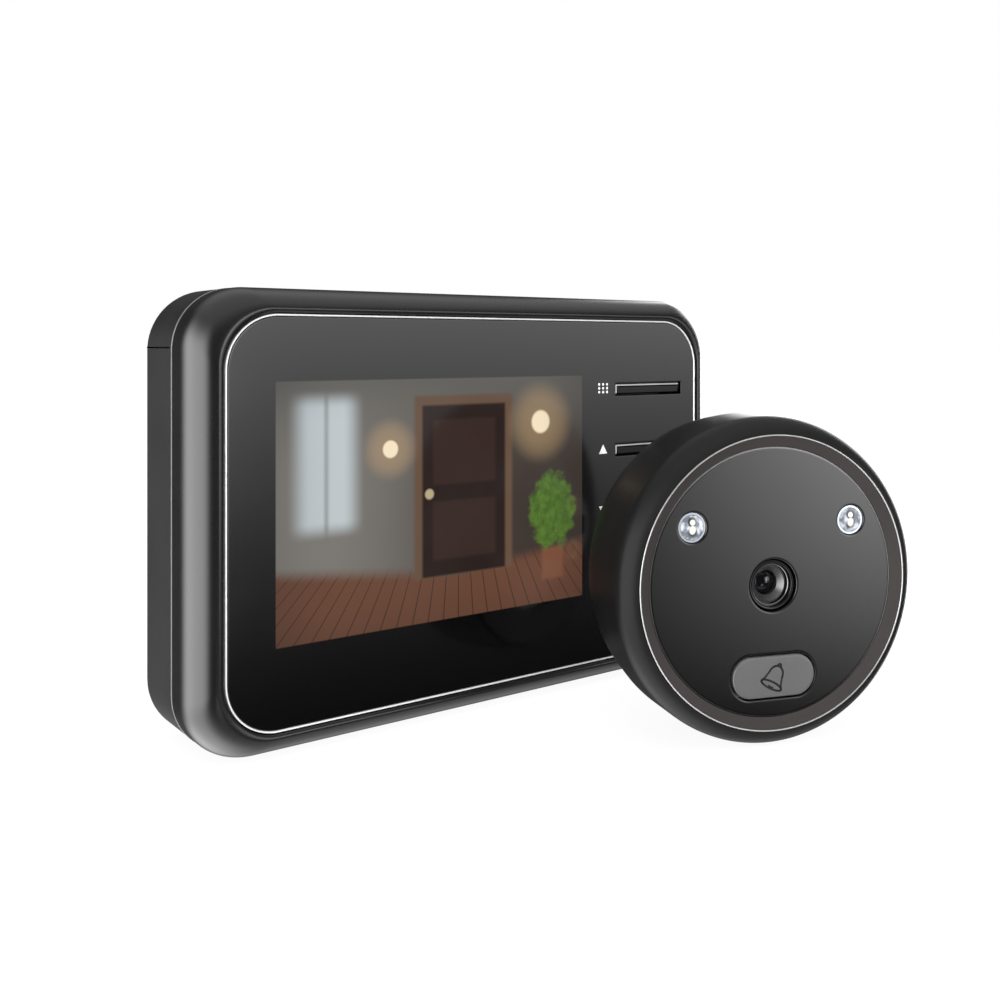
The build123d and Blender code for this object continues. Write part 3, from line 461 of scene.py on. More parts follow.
def lamp_dome(name):
    """The clear cover of a lamp, which magnifies the pair of dies in its silver cup; the cup's reflections
    and the shadow round the dies are painted on it.
    """
    material, g = material_graph(name)
    x, y, z = g.parts(g.coordinates())
    right_of_axis = (x / MM - RING.x) * TO_RIGHT.x + (y / MM - RING.y) * TO_RIGHT.y
    across = abs(right_of_axis) - LAMP_ASIDE
    up = z / MM - RING.z - LAMP_UP
    upper = far_from(across, up, (0.0, 0.78)).smooth(0.24, 0.1)
    lower = far_from(across, up, (0.0, -0.35), wide=1.25, tall=0.8).smooth(0.44, 0.22)
    dies = upper.at_least(lower)
    upper_shadow = far_from(across, up, (0.0, 0.85)).smooth(0.75, 0.4)
    lower_shadow = far_from(across, up, (0.0, -0.6)).smooth(0.8, 0.35)
    shadow = upper_shadow.at_least(lower_shadow * 0.7)
    facets = g.noise(900.0, 2.0)
    # Painted reflection of the silver cup in random facets, and painted shadow round the dies
    painted_cup_reflection = g.mix(facets.smooth(0.38, 0.66), (0.15, 0.165, 0.20), (0.66, 0.69, 0.76))
    color = g.mix(shadow * 0.92, painted_cup_reflection, (0.02, 0.02, 0.022))
    color = g.mix(dies, color, (0.70, 0.69, 0.60))
    g.finish(Base_Color=color, Roughness=0.08 + facets * 0.1, Alpha=0.85 + shadow * 0.12)
    return material


# Finishes: the casings and trims, the faces and keys, then the parts inside
casing_black = moulded_plastic("casing_black", grey(0.006), 0.27)
casing_back = moulded_plastic("casing_back", grey(0.008), 0.36)
outer_black = moulded_plastic("outer_black", grey(0.011), 0.3, shine=0.08)
trim_bright = bright_metal("trim_bright", grey(0.85), 0.34, 0.45, texture=0.0)
edge_bright = bright_metal("edge_bright", grey(0.5), 0.34, 0.7)
edge_shaded = shaded_edge("edge_shaded", 0.35)
seam_grey = bright_metal("seam_grey", grey(0.27), 0.3, 0.45)
barrel_grey = bright_metal("barrel_grey", grey(0.13), 0.3, 0.8)
barrel_glint = bright_metal("barrel_glint", grey(0.2), 0.15, 0.9)
panel_display = lit_display("panel_display", grey(0.001), 0.1)
face_gloss = polished_sheet("face_gloss", grey(0.002), 0.12)
key_black = polished_sheet("key_black", grey(0.004), 0.2, shine=0.2)
board_green = moulded_plastic("board_green", (0.012, 0.085, 0.035), 0.35)
part_black = moulded_plastic("part_black", grey(0.02), 0.45)
barrel_black = moulded_plastic("barrel_black", grey(0.002), 0.09, shine=0.3)
# Flat black without gloss for the parting line: painted shade
gap_painted_shade = moulded_plastic("gap_painted_shade", grey(0.001), 0.9, shine=0.0)
socket_ivory = moulded_plastic("socket_ivory", (0.62, 0.56, 0.43), 0.5)
screw_zinc = bright_metal("screw_zinc", (0.62, 0.63, 0.66), 0.3)
nickel = bright_metal("nickel", (0.7, 0.68, 0.63), 0.28)
sleeve_blue = moulded_plastic("sleeve_blue", (0.02, 0.06, 0.2), 0.3)
steel = bright_metal("steel", (0.55, 0.55, 0.56), 0.35)
bevel_grey = moulded_plastic("bevel_grey", (0.034, 0.029, 0.029), 0.5, shine=0.2)
silver = bright_metal("silver", (0.42, 0.45, 0.5), 0.18)
phosphor = moulded_plastic("phosphor", (0.8, 0.8, 0.74), 0.5)
clear = lamp_dome("clear")
# Pale grey for the keys' top and left bevels: a painted highlight
key_painted_highlight = moulded_plastic("key_painted_highlight", grey(0.6), 0.35)
button_grey = moulded_plastic("button_grey", grey(0.088), 0.34)
rubber_black = moulded_plastic("rubber_black", grey(0.018), 0.7)
brass = bright_metal("brass", (0.78, 0.55, 0.24), 0.25)
lens_coated = clear_plastic("lens_coated", (0.003, 0.003, 0.0045), 0.97)
print_white = moulded_plastic("print_white", grey(0.86), 0.5)
print_black = moulded_plastic("print_black", grey(0.008), 0.5)

# The finish of each material slot in the record
finishes = {
    "satin_black": casing_black,
    "bright_trim": trim_bright,
    "gloss_panel": face_gloss,
    "display": part_black,
    "folded_steel": steel,
    "gloss_key": key_black,
    "switch_body": part_black,
    "circuit_board": board_green,
    "chip_black": part_black,
    "socket_ivory": socket_ivory,
    "screw_steel": screw_zinc,
    "cell_sleeve": sleeve_blue,
    "contact_nickel": nickel,
    "speaker_metal": steel,
    "bevel_bronze": bevel_grey,
    "lens_black": barrel_black,
    "lens_glass": lens_coated,
    "sensor_glass": part_black,
    "silvered_cup": silver,
    "lamp_die": phosphor,
    "clear_cover": clear,
    "grey_button": button_grey,
    "seal_rubber": rubber_black,
    "insert_brass": brass,
    "gasket_foam": rubber_black,
}
slot_of = {entry["node"]: entry["material_slot"] for entry in frame["record"]["subparts"]}
for node_name, node in nodes.items():
    node.data.materials.clear()
    node.data.materials.append(finishes[slot_of[node_name]])


# Mesh tools
def body_of(node_name):
    """The body that carries a node."""
    for body, members in frame["record"]["behaviour"]["bodies"].items():
        if node_name in members:
            return body
    return "casing"


own_forms = set()


def dress(mesh, material, body="casing", slot=None, replaces=(), corner_angle=35, join=1e-7):
    """Join a mesh's points, shade it smooth by the size of its faces, and give it finish and body."""
    made = bmesh.new()
    made.from_mesh(mesh)
    bmesh.ops.remove_doubles(made, verts=made.verts, dist=join)
    bmesh.ops.recalc_face_normals(made, faces=made.faces)
    made.to_mesh(mesh)
    made.free()
    mesh.shade_smooth()
    mesh.set_sharp_from_angle(angle=radians(corner_angle))
    rough = bpy.data.objects.new(mesh.name, mesh)
    scene.collection.objects.link(rough)
    weighted = rough.modifiers.new("weighted", "WEIGHTED_NORMAL")
    weighted.keep_sharp = True
    evaluated = rough.evaluated_get(bpy.context.evaluated_depsgraph_get())
    final = bpy.data.meshes.new_from_object(evaluated)
    name = rough.name
    bpy.data.objects.remove(rough)
    final.materials.clear()
    final.materials.append(material)
    piece = bpy.data.objects.new(name, final)
    scene.collection.objects.link(piece)
    if replaces:
        body = body_of(replaces[0])
        slot = slot or slot_of[replaces[0]]
    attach(piece, body)
    if replaces:
        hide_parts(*replaces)
        own_forms.update(replaces)
    return piece


def add_piece(name, vertices, faces, material, **options):
    """A mesh piece from its points and faces."""
    mesh = bpy.data.meshes.new(name)
    mesh.from_pydata([tuple(point) for point in vertices], [], faces)
    mesh.update()
    return dress(mesh, material, **options)


def rounded_outline(shape, grow=0.0, steps=12):
    """Points round a rounded rectangle (across, up, width, height, corner), anticlockwise."""
    across, up, width, height, corner = shape
    found = []
    for turn in range(4):
        centre_across = across + (width / 2 - corner) * (1 if turn in (0, 3) else -1)
        centre_up = up + (height / 2 - corner) * (1 if turn in (0, 1) else -1)
        for step in range(steps + 1):
            angle = (turn + step / steps) * pi / 2
            reach = corner + grow
            found.append((centre_across + reach * cos(angle), centre_up + reach * sin(angle)))
    return [point for point, before in zip(found, found[-1:] + found) if dist(point, before) > 1e-6]


def disc(across, up, radius):
    """A circle as a rounded rectangle."""
    return (across, up, 2 * radius, 2 * radius, radius)


def capsule(grow):
    """The bell button's outline, grown outwards."""
    width, height = BELL_SIZE[0] + 2 * grow, BELL_SIZE[1] + 2 * grow
    return (0.0, BELL_UP, width, height, height / 2)


def loop_faces(around, along, closed):
    """Quads between neighbouring rings of points; closed joins the last ring to the first."""
    faces = []
    for j in range(along if closed else along - 1):
        following = (j + 1) % along
        for i in range(around):
            after = (i + 1) % around
            near, far = j * around, following * around
            faces.append((near + i, near + after, far + after, far + i))
    return faces


def ring_piece(name, rings, material, closed=True, **options):
    """A surface through rings of points that all have the same count."""
    vertices = [point for ring in rings for point in ring]
    return add_piece(name, vertices, loop_faces(len(rings[0]), len(rings), closed), material, **options)


def case_ring(inset_across, inset_up, corner, depth):
    """A ring of points round the monitor's outline, drawn in."""
    shape = (0.0, HEIGHT / 2, WIDTH - 2 * inset_across, HEIGHT - 2 * inset_up, corner)
    return [at_monitor(across, depth, up) for across, up in rounded_outline(shape, steps=24)]


def face_ring(grow, depth):
    """A ring of points round the glossy face, grown outwards."""
    shape = (0.0, HEIGHT / 2, *FACE_SIZE, PANEL_CORNER)
    return [at_monitor(across, depth, up) for across, up in rounded_outline(shape, grow, steps=24)]


def turned(name, profile, material, centre=(0.0, 0.0), steps=128, closed=True, **options):
    """Turn a profile of (radius, depth) points about a line along the outdoor camera's axis."""
    rings = []
    for radius, depth in profile:
        ring = []
        for step in range(steps):
            angle = 2 * pi * step / steps
            ring.append(at_outdoor(centre[0] + radius * cos(angle), depth, centre[1] + radius * sin(angle)))
        rings.append(ring)
    return ring_piece(name, rings, material, closed=closed, **options)


def arc(centre, radii, start, end, steps=12):
    """Points on an elliptical arc, angles in degrees."""
    found = []
    for step in range(steps + 1):
        angle = radians(start + (end - start) * step / steps)
        found.append((centre[0] + radii[0] * cos(angle), centre[1] + radii[1] * sin(angle)))
    return found


def plate(name, place, outer, holes, front, back, round_over, material, edge_steps=4, steps=12, **options):
    """A flat plate with holes, its front edges rounded over."""
    made = bmesh.new()
    caps = {"front": [], "back": []}
    for shape, sign in [(outer, 1)] + [(hole, -1) for hole in holes]:
        levels = [(0.0, back)]
        for step in range(edge_steps + 1):
            angle = pi / 2 * step / edge_steps
            inset = round_over * (1 - cos(angle))
            levels.append((inset, front + round_over * (1 - sin(angle))))
        levels.append((2 * round_over, front))
        rings = []
        for inset, depth in levels:
            points = rounded_outline(shape, -sign * inset, steps)
            rings.append([made.verts.new(place(across, depth, up)) for across, up in points])
        for near, far in zip(rings, rings[1:]):
            for i in range(len(near)):
                after = (i + 1) % len(near)
                made.faces.new((near[i], near[after], far[after], far[i]))
        for side, ring in (("back", rings[0]), ("front", rings[-1])):
            for i in range(len(ring)):
                caps[side].append(made.edges.get((ring[i], ring[(i + 1) % len(ring)])))
    toward_front = (place(0, -1, 0) - place(0, 0, 0)).normalized()
    bmesh.ops.triangle_fill(made, use_beauty=True, edges=caps["front"], normal=toward_front)
    bmesh.ops.triangle_fill(made, use_beauty=True, edges=caps["back"], normal=-toward_front)
    mesh = bpy.data.meshes.new(name)
    made.to_mesh(mesh)
    made.free()
    return dress(mesh, material, **options)


def smoothed(node_name, material=None, corner_angle=30):
    """A copy of a node with its facets joined and shaded smooth, which takes the node's place."""
    made = bmesh.new()
    made.from_mesh(nodes[node_name].data)
    bmesh.ops.remove_doubles(made, verts=made.verts, dist=2e-6)
    bmesh.ops.dissolve_limit(made, angle_limit=radians(0.3), verts=made.verts, edges=made.edges)
    mesh = bpy.data.meshes.new(f"{node_name}_smooth")
    made.to_mesh(mesh)
    made.free()
    finish = material or finishes[slot_of[node_name]]
    return dress(mesh, finish, replaces=[node_name], corner_angle=corner_angle, join=2e-6)


# Camera
camera_data = bpy.data.cameras.new("camera")
camera_data.lens = CAMERA_LENS
camera_data.sensor_width = 36.0
camera_data.shift_y = CAMERA_SHIFT
camera_data.clip_start = 0.01
camera_data.clip_end = 30.0
camera = bpy.data.objects.new("camera", camera_data)
scene.collection.objects.link(camera)
camera.location = at_monitor(*CAMERA_PLACE)
camera.rotation_euler = (radians(90), 0, -CAMERA_TURN)
scene.camera = camera

# Surroundings: white to the camera, even for soft light, cards and strips in reflections
scene.view_settings.view_transform = "Standard"
world = bpy.data.worlds.new("studio")
scene.world = world
world.use_nodes = True
w = Graph(world.node_tree, "ShaderNodeOutputWorld")
east, north, rise = w.parts(w.node("ShaderNodeTexCoord", out="Generated"))


def toward(direction, inner, outer):
    """1 within the inner angle of a level direction, 0 outside the outer one, in degrees."""
    length = sqrt(direction[0] ** 2 + direction[1] ** 2)
    along = east * (direction[0] / length) + north * (direction[1] / length)
    level = (east * east + north * north).math("SQRT").at_least(0.001)
    return (along / level).smooth(cos(radians(outer)), cos(radians(inner)))


# Directions in front of the object, as slopes up and to the right
ahead = (-north).at_least(0.05)
slope = rise / ahead
sideways = east / ahead
in_front = north.smooth(-0.2, -0.5)

# A card that the face of the monitor mirrors, brighter towards its top
card_rise = ((slope + 0.4) / 0.42).at_least(0.0)
panel_card = card_rise * card_rise * slope.smooth(0.4, 0.1) * sideways.band(0.32, 1.28, 0.09) * in_front

# A card that the round face mirrors, brighter towards its upper right
disc_tilt = (1.0 + (sideways - 0.19) * 5.5) * (1.0 + (slope + 0.21) * 8.0)
disc_card = disc_tilt.at_least(0.0) * sideways.band(-0.3, 0.34, 0.07) * slope.band(-0.55, 0.2, 0.15)

# A tall strip at the left that lights the rim, bent under the lower left corner
left_strip = toward((-1.0, 0.09), 19, 53) * abs(rise).smooth(0.7, 0.2)
corner_tilt = abs(east * 0.088 + north * 0.974 + rise * 0.209)
corner_strip = corner_tilt.smooth(0.8, 0.3) * rise.smooth(-0.2, -0.7) * east.smooth(0.35, -0.4)

# A glow at the right behind the object, and a dim ceiling and ground
right_glow = toward((0.93, 0.36), 14, 25) * rise.band(-0.4, 0.42, 0.12)
ceiling = rise.smooth(0.4, 0.85)
ground = rise.smooth(-0.45, -0.85)

reflected = panel_card * (2.3 - sideways * 0.35) + disc_card * in_front * 1.7
reflected = reflected + (left_strip + corner_strip * 0.6) * 6.5 + right_glow * 8.0
reflected = reflected + (ceiling + ground) * 0.9 + 0.05
is_camera = w.node("ShaderNodeLightPath", out="Is Camera Ray")
is_glossy = w.node("ShaderNodeLightPath", out="Is Glossy Ray")
soft_light = w.node("ShaderNodeBackground", {}, grey(1.0), 0.95)
reflections = w.node("ShaderNodeBackground", {}, grey(1.0), reflected)
white = w.node("ShaderNodeBackground", {}, grey(1.0), 1.0)
unseen = w.node("ShaderNodeMixShader", {}, is_glossy, soft_light, reflections)
w.end(w.node("ShaderNodeMixShader", {}, is_camera, unseen, white))

# Floor: white, with a faint contact shadow, and absent from reflections
reach = 12.0
floor_corners = [(-reach, -reach, 0), (reach, -reach, 0), (reach, reach, 0), (-reach, reach, 0)]
floor_mesh = bpy.data.meshes.new("floor")
floor_mesh.from_pydata(floor_corners, [], [(0, 1, 2, 3)])
floor = bpy.data.objects.new("floor", floor_mesh)
scene.collection.objects.link(floor)
floor.visible_glossy = False
floor_white, f = material_graph("floor_white")
paper = f.node("ShaderNodeBsdfDiffuse", {}, Color=grey(0.9))
glow = f.node("ShaderNodeEmission", {}, Color=grey(1.0), Strength=1.04)
seen = f.node("ShaderNodeLightPath", out="Is Camera Ray")
f.end(f.node("ShaderNodeMixShader", {}, seen * 0.9, paper, glow))
floor_mesh.materials.append(floor_white)


def softbox(name, place, target, size, power):
    """A rectangular area lamp aimed at a point, absent from reflections."""
    light = bpy.data.lights.new(name, "AREA")
    light.shape = "RECTANGLE"
    light.size, light.size_y = size
    light.energy = power
    lamp = bpy.data.objects.new(name, light)
    scene.collection.objects.link(lamp)
    lamp.location = place
    lamp.rotation_euler = (Vector(target) - Vector(place)).to_track_quat("-Z", "Y").to_euler()
    lamp.visible_glossy = False
    return lamp


middle = Vector((0.0, -0.02, 0.035))
softbox("top_softbox", (-0.15, -0.35, 0.8), middle, (0.9, 0.7), 6.0)
softbox("front_softbox", (-0.35, -0.8, 0.3), middle, (0.5, 0.5), 3.0)

# Front shell: wall, roll and trim groove, with the plate behind the face
crest_across = PANEL_SIDE - TRIM_WIDTH - 2 * TRIM_GAP
crest_up = PANEL_END - TRIM_WIDTH - 2 * TRIM_GAP
crest_corner = PANEL_CORNER + TRIM_WIDTH + 2 * TRIM_GAP
shell_rings = [
    case_ring(WALL, WALL, CORNER - WALL, FRONT_DEPTH),
    case_ring(WALL_BREAK, WALL_BREAK, CORNER - WALL_BREAK, FRONT_DEPTH),
    case_ring(0, 0, CORNER, FRONT_DEPTH - WALL_BREAK),
]
for step in range(ROLL_STEPS + 1):
    angle = pi / 2 * step / ROLL_STEPS
    share = 1 - cos(angle)
    corner = CORNER + share * (crest_corner - CORNER)
    dip = max(0.0, share - DIP_START_SHARE) / (1 - DIP_START_SHARE)
    depth = RIM_ROLL - (RIM_ROLL + RIM_RISE) * sin(angle) + RIM_DIP * dip**2
    shell_rings.append(case_ring(share * crest_across, share * crest_up, corner, depth))
shell_rings.append(face_ring(TRIM_WIDTH + 2 * TRIM_GAP, PLATE_BACK - OVERLAP))
shell_rings.append(case_ring(WALL, WALL, CORNER - WALL, PLATE_BACK - OVERLAP))
ring_piece("front_shell_skin", shell_rings, casing_black, replaces=["front_shell"])

slot_size = (KEY_SIZE[0] + 2 * KEY_GAP, KEY_SIZE[1] + 2 * KEY_GAP)
slot_shapes = [(KEY_X, key_z, *slot_size, SLOT_CORNER) for key_z in KEY_Z]
screen_middle = ((SCREEN_X[0] + SCREEN_X[1]) / 2, (SCREEN_Z[0] + SCREEN_Z[1]) / 2)
window_size = (
    SCREEN_X[1] - SCREEN_X[0] + 2 * WINDOW_MARGIN,
    SCREEN_Z[1] - SCREEN_Z[0] + 2 * WINDOW_MARGIN,
)
window_shape = (*screen_middle, *window_size, WINDOW_CORNER)
plate_size = (FACE_SIZE[0] + 2 * PLATE_TUCK, FACE_SIZE[1] + 2 * PLATE_TUCK)
plate_shape = (0.0, HEIGHT / 2, *plate_size, PANEL_CORNER + PLATE_TUCK)
plate(
    "front_plate", at_monitor, plate_shape, slot_shapes + [window_shape], PLATE_FRONT, PLATE_BACK,
    PLATE_ROUND, casing_black, slot="satin_black",
)

# A lip set back in the line between the fixed top strip and the cover, flat black without gloss: painted
# shade in the gap
lip_size = (WIDTH - 2 * LIP_INSET, PARTING_Z[1] - PARTING_Z[0])
parting_shape = (0.0, (PARTING_Z[0] + PARTING_Z[1]) / 2, *lip_size, LIP_CORNER)
plate(
    "parting_lip", at_monitor, parting_shape, [], FRONT_DEPTH + SEAM + 2 * OVERLAP, DEPTH - LIP_INSET,
    LIP_ROUND, gap_painted_shade,
)

# Seam line and the bead round the face
seam_rings = [
    case_ring(WALL, WALL, CORNER - WALL, FRONT_DEPTH),
    case_ring(0.0, 0.0, CORNER, FRONT_DEPTH + OVERLAP),
    case_ring(-SEAM_CROWN, -SEAM_CROWN, CORNER, FRONT_DEPTH + SEAM / 2),
    case_ring(0.0, 0.0, CORNER, FRONT_DEPTH + SEAM),
    case_ring(WALL, WALL, CORNER - WALL, FRONT_DEPTH + SEAM),
]
ring_piece("seam_line", seam_rings, seam_grey, replaces=["seam_trim"])

bead_middle = TRIM_GAP + BEAD_WIDTH / 2
bead_top = arc((bead_middle, TRIM_SEAT), (BEAD_WIDTH / 2, -TRIM_SEAT - TRIM_RISE), 180, 0, 12)
bead_rings = [face_ring(across, depth) for across, depth in bead_top]
bead_rings += [face_ring(TRIM_GAP + BEAD_WIDTH, PLATE_FRONT), face_ring(TRIM_GAP, PLATE_FRONT)]
ring_piece("face_bead", bead_rings, trim_bright, replaces=["panel_trim"])

# Face panel and keys
face_shape = (0.0, HEIGHT / 2, *FACE_SIZE, PANEL_CORNER)
plate(
    "face_sheet", at_monitor, face_shape, slot_shapes, 0.0, PANEL_THICKNESS, PANEL_ROUND, panel_display,
    steps=24, replaces=["face_panel"],
)
key_flange_front = PLATE_BACK + KEY_FLANGE_GAP
for key_name, key_z in zip(("menu_key", "up_key", "down_key", "power_key"), KEY_Z):
    bar_shape = (KEY_X, key_z, *KEY_SIZE, KEY_CORNER)
    bar = plate(
        f"{key_name}_bar", at_monitor, bar_shape, [], KEY_RECESS, key_flange_front + KEY_FLANGE_GAP,
        KEY_BEVEL, key_black, edge_steps=1, replaces=[key_name],
    )
    # The top and left bevels of each key take the pale grey: a painted highlight
    bar.data.materials.append(key_painted_highlight)
    for side in bar.data.polygons:
        lit_side = side.normal.z > 0.4 or side.normal.x < -0.4
        if lit_side and side.normal.y < -0.4:
            side.material_index = 1
    key_flange_shape = (KEY_X, key_z, *KEY_FLANGE, KEY_FLANGE_CORNER)
    plate(
        f"{key_name}_flange", at_monitor, key_flange_shape, [], key_flange_front,
        key_flange_front + KEY_FLANGE_THICKNESS, FLANGE_ROUND, key_black, body=key_name, slot="gloss_key",
    )

# Outdoor shell
lip = RING_RADIUS + TRIM_GAP
roll_reach = OUT_RADIUS - lip
roll_radius = (roll_reach**2 + OUT_ROLL**2) / (2 * roll_reach)
roll_start = degrees(atan2(OUT_ROLL, roll_radius - roll_reach))
shell_profile = arc((OUT_RADIUS - roll_radius, OUT_ROLL), (roll_radius, -roll_radius), roll_start, 0, 24)
shell_profile.append((OUT_RADIUS, OUT_DEPTH - OUT_TAPER))
shell_profile += arc((BACK_RADIUS - BACK_EDGE, OUT_DEPTH - BACK_EDGE), (BACK_EDGE, BACK_EDGE), 0, 90, 8)
bore = BACK_RADIUS - OUT_WALL
ledge_front = BEVEL_DROP + FACE_THICKNESS + TRIM_GAP
shell_profile += [
    (bore, OUT_DEPTH),
    (bore, ledge_front + LEDGE_THICKNESS),
    (FACE_RADIUS - LEDGE_WIDTH, ledge_front + LEDGE_THICKNESS),
    (FACE_RADIUS - LEDGE_WIDTH, ledge_front),
    (lip, ledge_front),
]
turned("outdoor_wall", shell_profile, outer_black, steps=192, replaces=["outdoor_shell"])

# Edge ring, bevel and face
edge_crest = (RING_RADIUS - EDGE_WIDTH / 2, EDGE_SEAT)
edge_profile = arc(edge_crest, (EDGE_WIDTH / 2, -EDGE_SEAT - EDGE_RISE), 0, 180, 10)
edge_profile += [(RING_RADIUS - EDGE_WIDTH, EDGE_DEPTH), (RING_RADIUS, EDGE_DEPTH)]
turned("edge_line", edge_profile, edge_bright, steps=192, replaces=["edge_ring"])

bevel_outer = RING_RADIUS - EDGE_WIDTH - TRIM_GAP
bevel_inner = FACE_RADIUS + TRIM_GAP
face_back = BEVEL_DROP + FACE_THICKNESS
bevel_profile = [
    (bevel_outer, BEVEL_BREAK),
    (bevel_outer, EDGE_DEPTH + TRIM_GAP),
    (RING_RADIUS - TRIM_GAP, EDGE_DEPTH + TRIM_GAP),
    (RING_RADIUS - TRIM_GAP, face_back),
    (bevel_inner, face_back),
    (bevel_inner, BEVEL_DROP + BEVEL_BREAK),
    (bevel_inner + BEVEL_BREAK, BEVEL_DROP),
    (bevel_outer - BEVEL_BREAK, BEVEL_SET_BACK),
]
turned("sloping_bevel", bevel_profile, bevel_grey, steps=192, replaces=["bevel_ring"])

face_holes = [disc(0.0, LENS_UP, LENS_HOLE)]
face_holes += [disc(side * LAMP_ASIDE, LAMP_UP, LAMP_HOLE) for side in (-1, 1)]
face_holes.append(capsule(KEY_GAP))
disc_piece = plate(
    "outdoor_disc", at_outdoor, disc(0.0, 0.0, FACE_RADIUS), face_holes, BEVEL_DROP, face_back,
    EDGE_ROUND, face_gloss, steps=32, replaces=["outdoor_face"],
)
# The disc's rounded edge takes the painted highlight and shade
disc_piece.data.materials.append(edge_shaded)
for side in disc_piece.data.polygons:
    if reach_from(side.center, (0.0, 0.0)) > FACE_RADIUS - EDGE_ROUND:
        side.material_index = 1

# Lens: a barrel with two steps, a cone down to its throat, and a crowned glass
barrel_front = BEVEL_DROP + BARREL_RECESS
mouth_radius = BARREL_RADIUS - BARREL_LIP
cone_radius = (mouth_radius + THROAT_RADIUS) / 2
step_run = (mouth_radius - cone_radius) / BARREL_STEPS
barrel_profile = [
    (BARREL_RADIUS, barrel_front + BARREL_BREAK),
    (BARREL_RADIUS - BARREL_BREAK, barrel_front),
]
for step in range(BARREL_STEPS):
    step_radius = mouth_radius - step * step_run
    step_front = barrel_front + step * STEP_DEPTH
    edge_centre = (step_radius + STEP_ROUND, step_front + STEP_ROUND)
    barrel_profile += arc(edge_centre, (STEP_ROUND, STEP_ROUND), 270, 180, 5)
    barrel_profile.append((step_radius, step_front + STEP_DEPTH))
cone_front = barrel_front + BARREL_STEPS * STEP_DEPTH
barrel_profile += [
    (cone_radius, cone_front),
    (THROAT_RADIUS, cone_front + BARREL_STEPS * STEP_DEPTH),
    (THROAT_RADIUS, barrel_front + BARREL_LENGTH),
    (BARREL_RADIUS, barrel_front + BARREL_LENGTH),
]
lens_centre = (0.0, LENS_UP)
barrel = turned("barrel", barrel_profile, barrel_black, lens_centre, replaces=["lens_barrel"])
barrel.data.materials.append(barrel_grey)
barrel.data.materials.append(barrel_glint)
glint_radius = mouth_radius - step_run
for side in barrel.data.polygons:
    radius = reach_from(side.center, lens_centre)
    if radius < cone_radius:
        side.material_index = 1
    elif glint_radius < radius < glint_radius + GLINT_SHARE * STEP_ROUND:
        side.material_index = 2
smoothed("lens_glass", corner_angle=50)

# Bell button: a capsule with a rounded rim, and its flange behind the face
plate(
    "bell_cap", at_outdoor, capsule(0.0), [], BEVEL_DROP - BELL_RISE, face_back + 2 * TRIM_GAP,
    BELL_ROUND, button_grey, edge_steps=6, steps=24, replaces=["bell_button"],
)
plate(
    "bell_flange", at_outdoor, capsule(BELL_LIP), [], face_back + TRIM_GAP,
    face_back + TRIM_GAP + BELL_FLANGE, FLANGE_ROUND, button_grey, steps=24, body="bell_button",
    slot="grey_button",
)

# The remaining nodes keep their form, with smooth shading
back_parts = {"rear_shell", "back_cover", "outdoor_back"}
for node_name in nodes:
    if node_name not in own_forms:
        smoothed(node_name, casing_back if node_name in back_parts else None)


# Printed marks
def printed(name, place, depth, outlines, material, body):
    """Flat printed shapes, each a closed outline of (across, up) points, a hair above the surface."""
    vertices = []
    faces = []
    for outline in outlines:
        first = len(vertices)
        vertices += [place(across, depth - PRINT_RISE, up) for across, up in outline]
        count = len(outline)
        faces.append(tuple(range(first, first + count)))
    return add_piece(name, vertices, faces, material, body=body)


def dot_grid(name, columns, rows, pitch, radius, material):
    """A flat grid of dots made by Geometry Nodes, as a plain mesh about the origin."""
    tree = bpy.data.node_groups.new(name, "GeometryNodeTree")
    face = tree.interface
    settings = []
    for label, kind, value in (
        ("Columns", "NodeSocketInt", columns),
        ("Rows", "NodeSocketInt", rows),
        ("Grid Width", "NodeSocketFloat", pitch[0] * (columns - 1) * MM),
        ("Grid Height", "NodeSocketFloat", pitch[1] * (rows - 1) * MM),
        ("Dot Radius", "NodeSocketFloat", radius * MM),
    ):
        socket = face.new_socket(label, in_out="INPUT", socket_type=kind)
        settings.append((socket.identifier, value))
    face.new_socket("Mesh", in_out="OUTPUT", socket_type="NodeSocketGeometry")
    given = tree.nodes.new("NodeGroupInput")
    grid = tree.nodes.new("GeometryNodeMeshGrid")
    dot = tree.nodes.new("GeometryNodeMeshCircle")
    dot.fill_type = "NGON"
    dot.inputs["Vertices"].default_value = 20
    spread = tree.nodes.new("GeometryNodeInstanceOnPoints")
    real = tree.nodes.new("GeometryNodeRealizeInstances")
    paint = tree.nodes.new("GeometryNodeSetMaterial")
    paint.inputs["Material"].default_value = material
    result = tree.nodes.new("NodeGroupOutput")
    for source, target in (
        (given.outputs["Columns"], grid.inputs["Vertices X"]),
        (given.outputs["Rows"], grid.inputs["Vertices Y"]),
        (given.outputs["Grid Width"], grid.inputs["Size X"]),
        (given.outputs["Grid Height"], grid.inputs["Size Y"]),
        (given.outputs["Dot Radius"], dot.inputs["Radius"]),
        (grid.outputs["Mesh"], spread.inputs["Points"]),
        (dot.outputs["Mesh"], spread.inputs["Instance"]),
        (spread.outputs["Instances"], real.inputs["Geometry"]),
        (real.outputs["Geometry"], paint.inputs["Geometry"]),
        (paint.outputs["Geometry"], result.inputs[0]),
    ):
        tree.links.new(source, target)
    carrier = bpy.data.objects.new(name, bpy.data.meshes.new(name))
    scene.collection.objects.link(carrier)
    modifier = carrier.modifiers.new("grid", "NODES")
    modifier.node_group = tree
    for identifier, value in settings:
        modifier[identifier] = value
    evaluated = carrier.evaluated_get(bpy.context.evaluated_depsgraph_get())
    mesh = bpy.data.meshes.new_from_object(evaluated)
    bpy.data.objects.remove(carrier)
    return mesh


dots = dot_grid("menu_dots", 3, 3, DOT_PITCH, DOT_RADIUS, print_white)
for vertex in dots.vertices:
    across, up = vertex.co.x / MM, vertex.co.y / MM
    vertex.co = at_monitor(ICON_X + across, -PRINT_RISE, KEY_Z[0] + ICON_RISE + up)
dots.name = "menu_mark"
dress(dots, print_white)

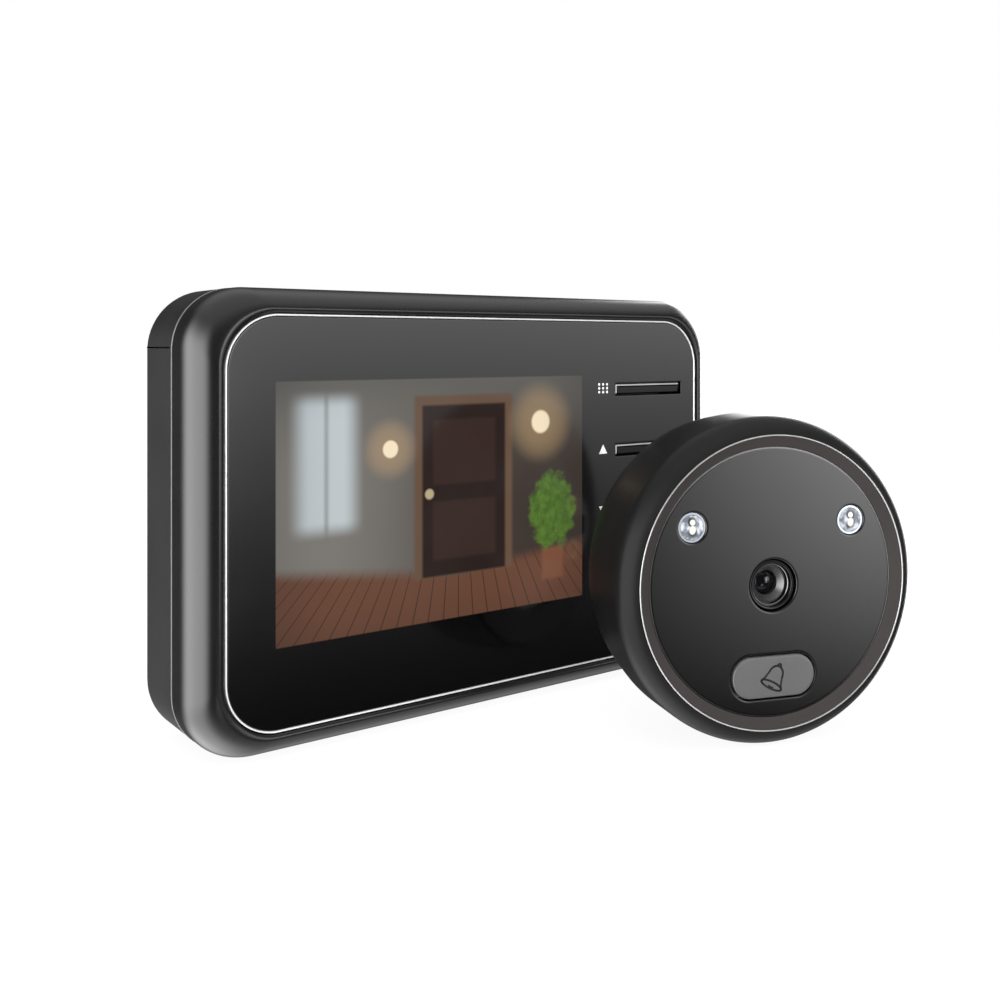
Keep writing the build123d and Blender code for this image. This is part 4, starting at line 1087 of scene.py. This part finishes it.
triangle = [(-1.0, -0.8), (1.0, -0.8), (0.0, 0.9)]
up_mark = [(ICON_X + across, KEY_Z[1] + ICON_RISE + up) for across, up in triangle]
down_mark = [(ICON_X + across, KEY_Z[2] + ICON_RISE - up) for across, up in triangle]
printed("up_mark", at_monitor, 0.0, [up_mark], print_white, "casing")
printed("down_mark", at_monitor, 0.0, [down_mark], print_white, "casing")


def stroke(points, width, closed=False):
    """A band of quads along a line of points, each as an outline."""
    quads = []
    count = len(points)
    for i in range(count if closed else count - 1):
        start = Vector(points[i])
        end = Vector(points[(i + 1) % count])
        side = (end - start).normalized().orthogonal() * width / 2
        reach = (end - start).normalized() * width * 0.25
        corners = [start - reach - side, end + reach - side, end + reach + side, start - reach + side]
        quads.append([tuple(corner) for corner in corners])
    return quads


power_arc = arc((0.0, -0.1), (0.85, 0.85), 125, 415, 22)
power_lines = stroke(power_arc, POWER_LINE) + stroke([(0.0, 0.15), (0.0, 1.0)], POWER_LINE)
power_mark = [[(ICON_X + across, KEY_Z[3] + up) for across, up in quad] for quad in power_lines]
printed("power_mark", at_monitor, 0.0, power_mark, print_white, "casing")

# The bell drawn on the button, leaning to the right: a body, a knob, and an oval mouth with its clapper
side_line = arc((0.0, 0.45), (0.95, 1.05), 0, 90, 8)
right_side = [(1.5, -0.95), (1.22, -0.5)] + side_line
left_side = [(-across, up) for across, up in right_side]
mouth = arc((0.0, -0.95), (1.5, 0.42), 0, 360, 32)[:-1]
knob = arc((0.0, 1.62), (0.22, 0.2), -20, 200, 8)
clapper = arc((0.0, -1.0), (0.34, 0.2), 200, 340, 6)
bell_quads = stroke(right_side, BELL_LINE) + stroke(left_side, BELL_LINE)
bell_quads += stroke(mouth, BELL_LINE, closed=True)
bell_quads += stroke(knob, KNOB_LINE) + stroke(clapper, CLAPPER_LINE)
bell_mark = []
for quad in bell_quads:
    leaning = []
    for across, up in quad:
        right = across * cos(BELL_LEAN) - up * sin(BELL_LEAN)
        high = across * sin(BELL_LEAN) + up * cos(BELL_LEAN)
        leaning.append((BELL_SCALE * right, BELL_UP + BELL_SCALE * high - BELL_MARK_DROP))
    bell_mark.append(leaning)
printed("bell_mark", at_outdoor, BEVEL_DROP - BELL_RISE, bell_mark, print_black, "bell_button")
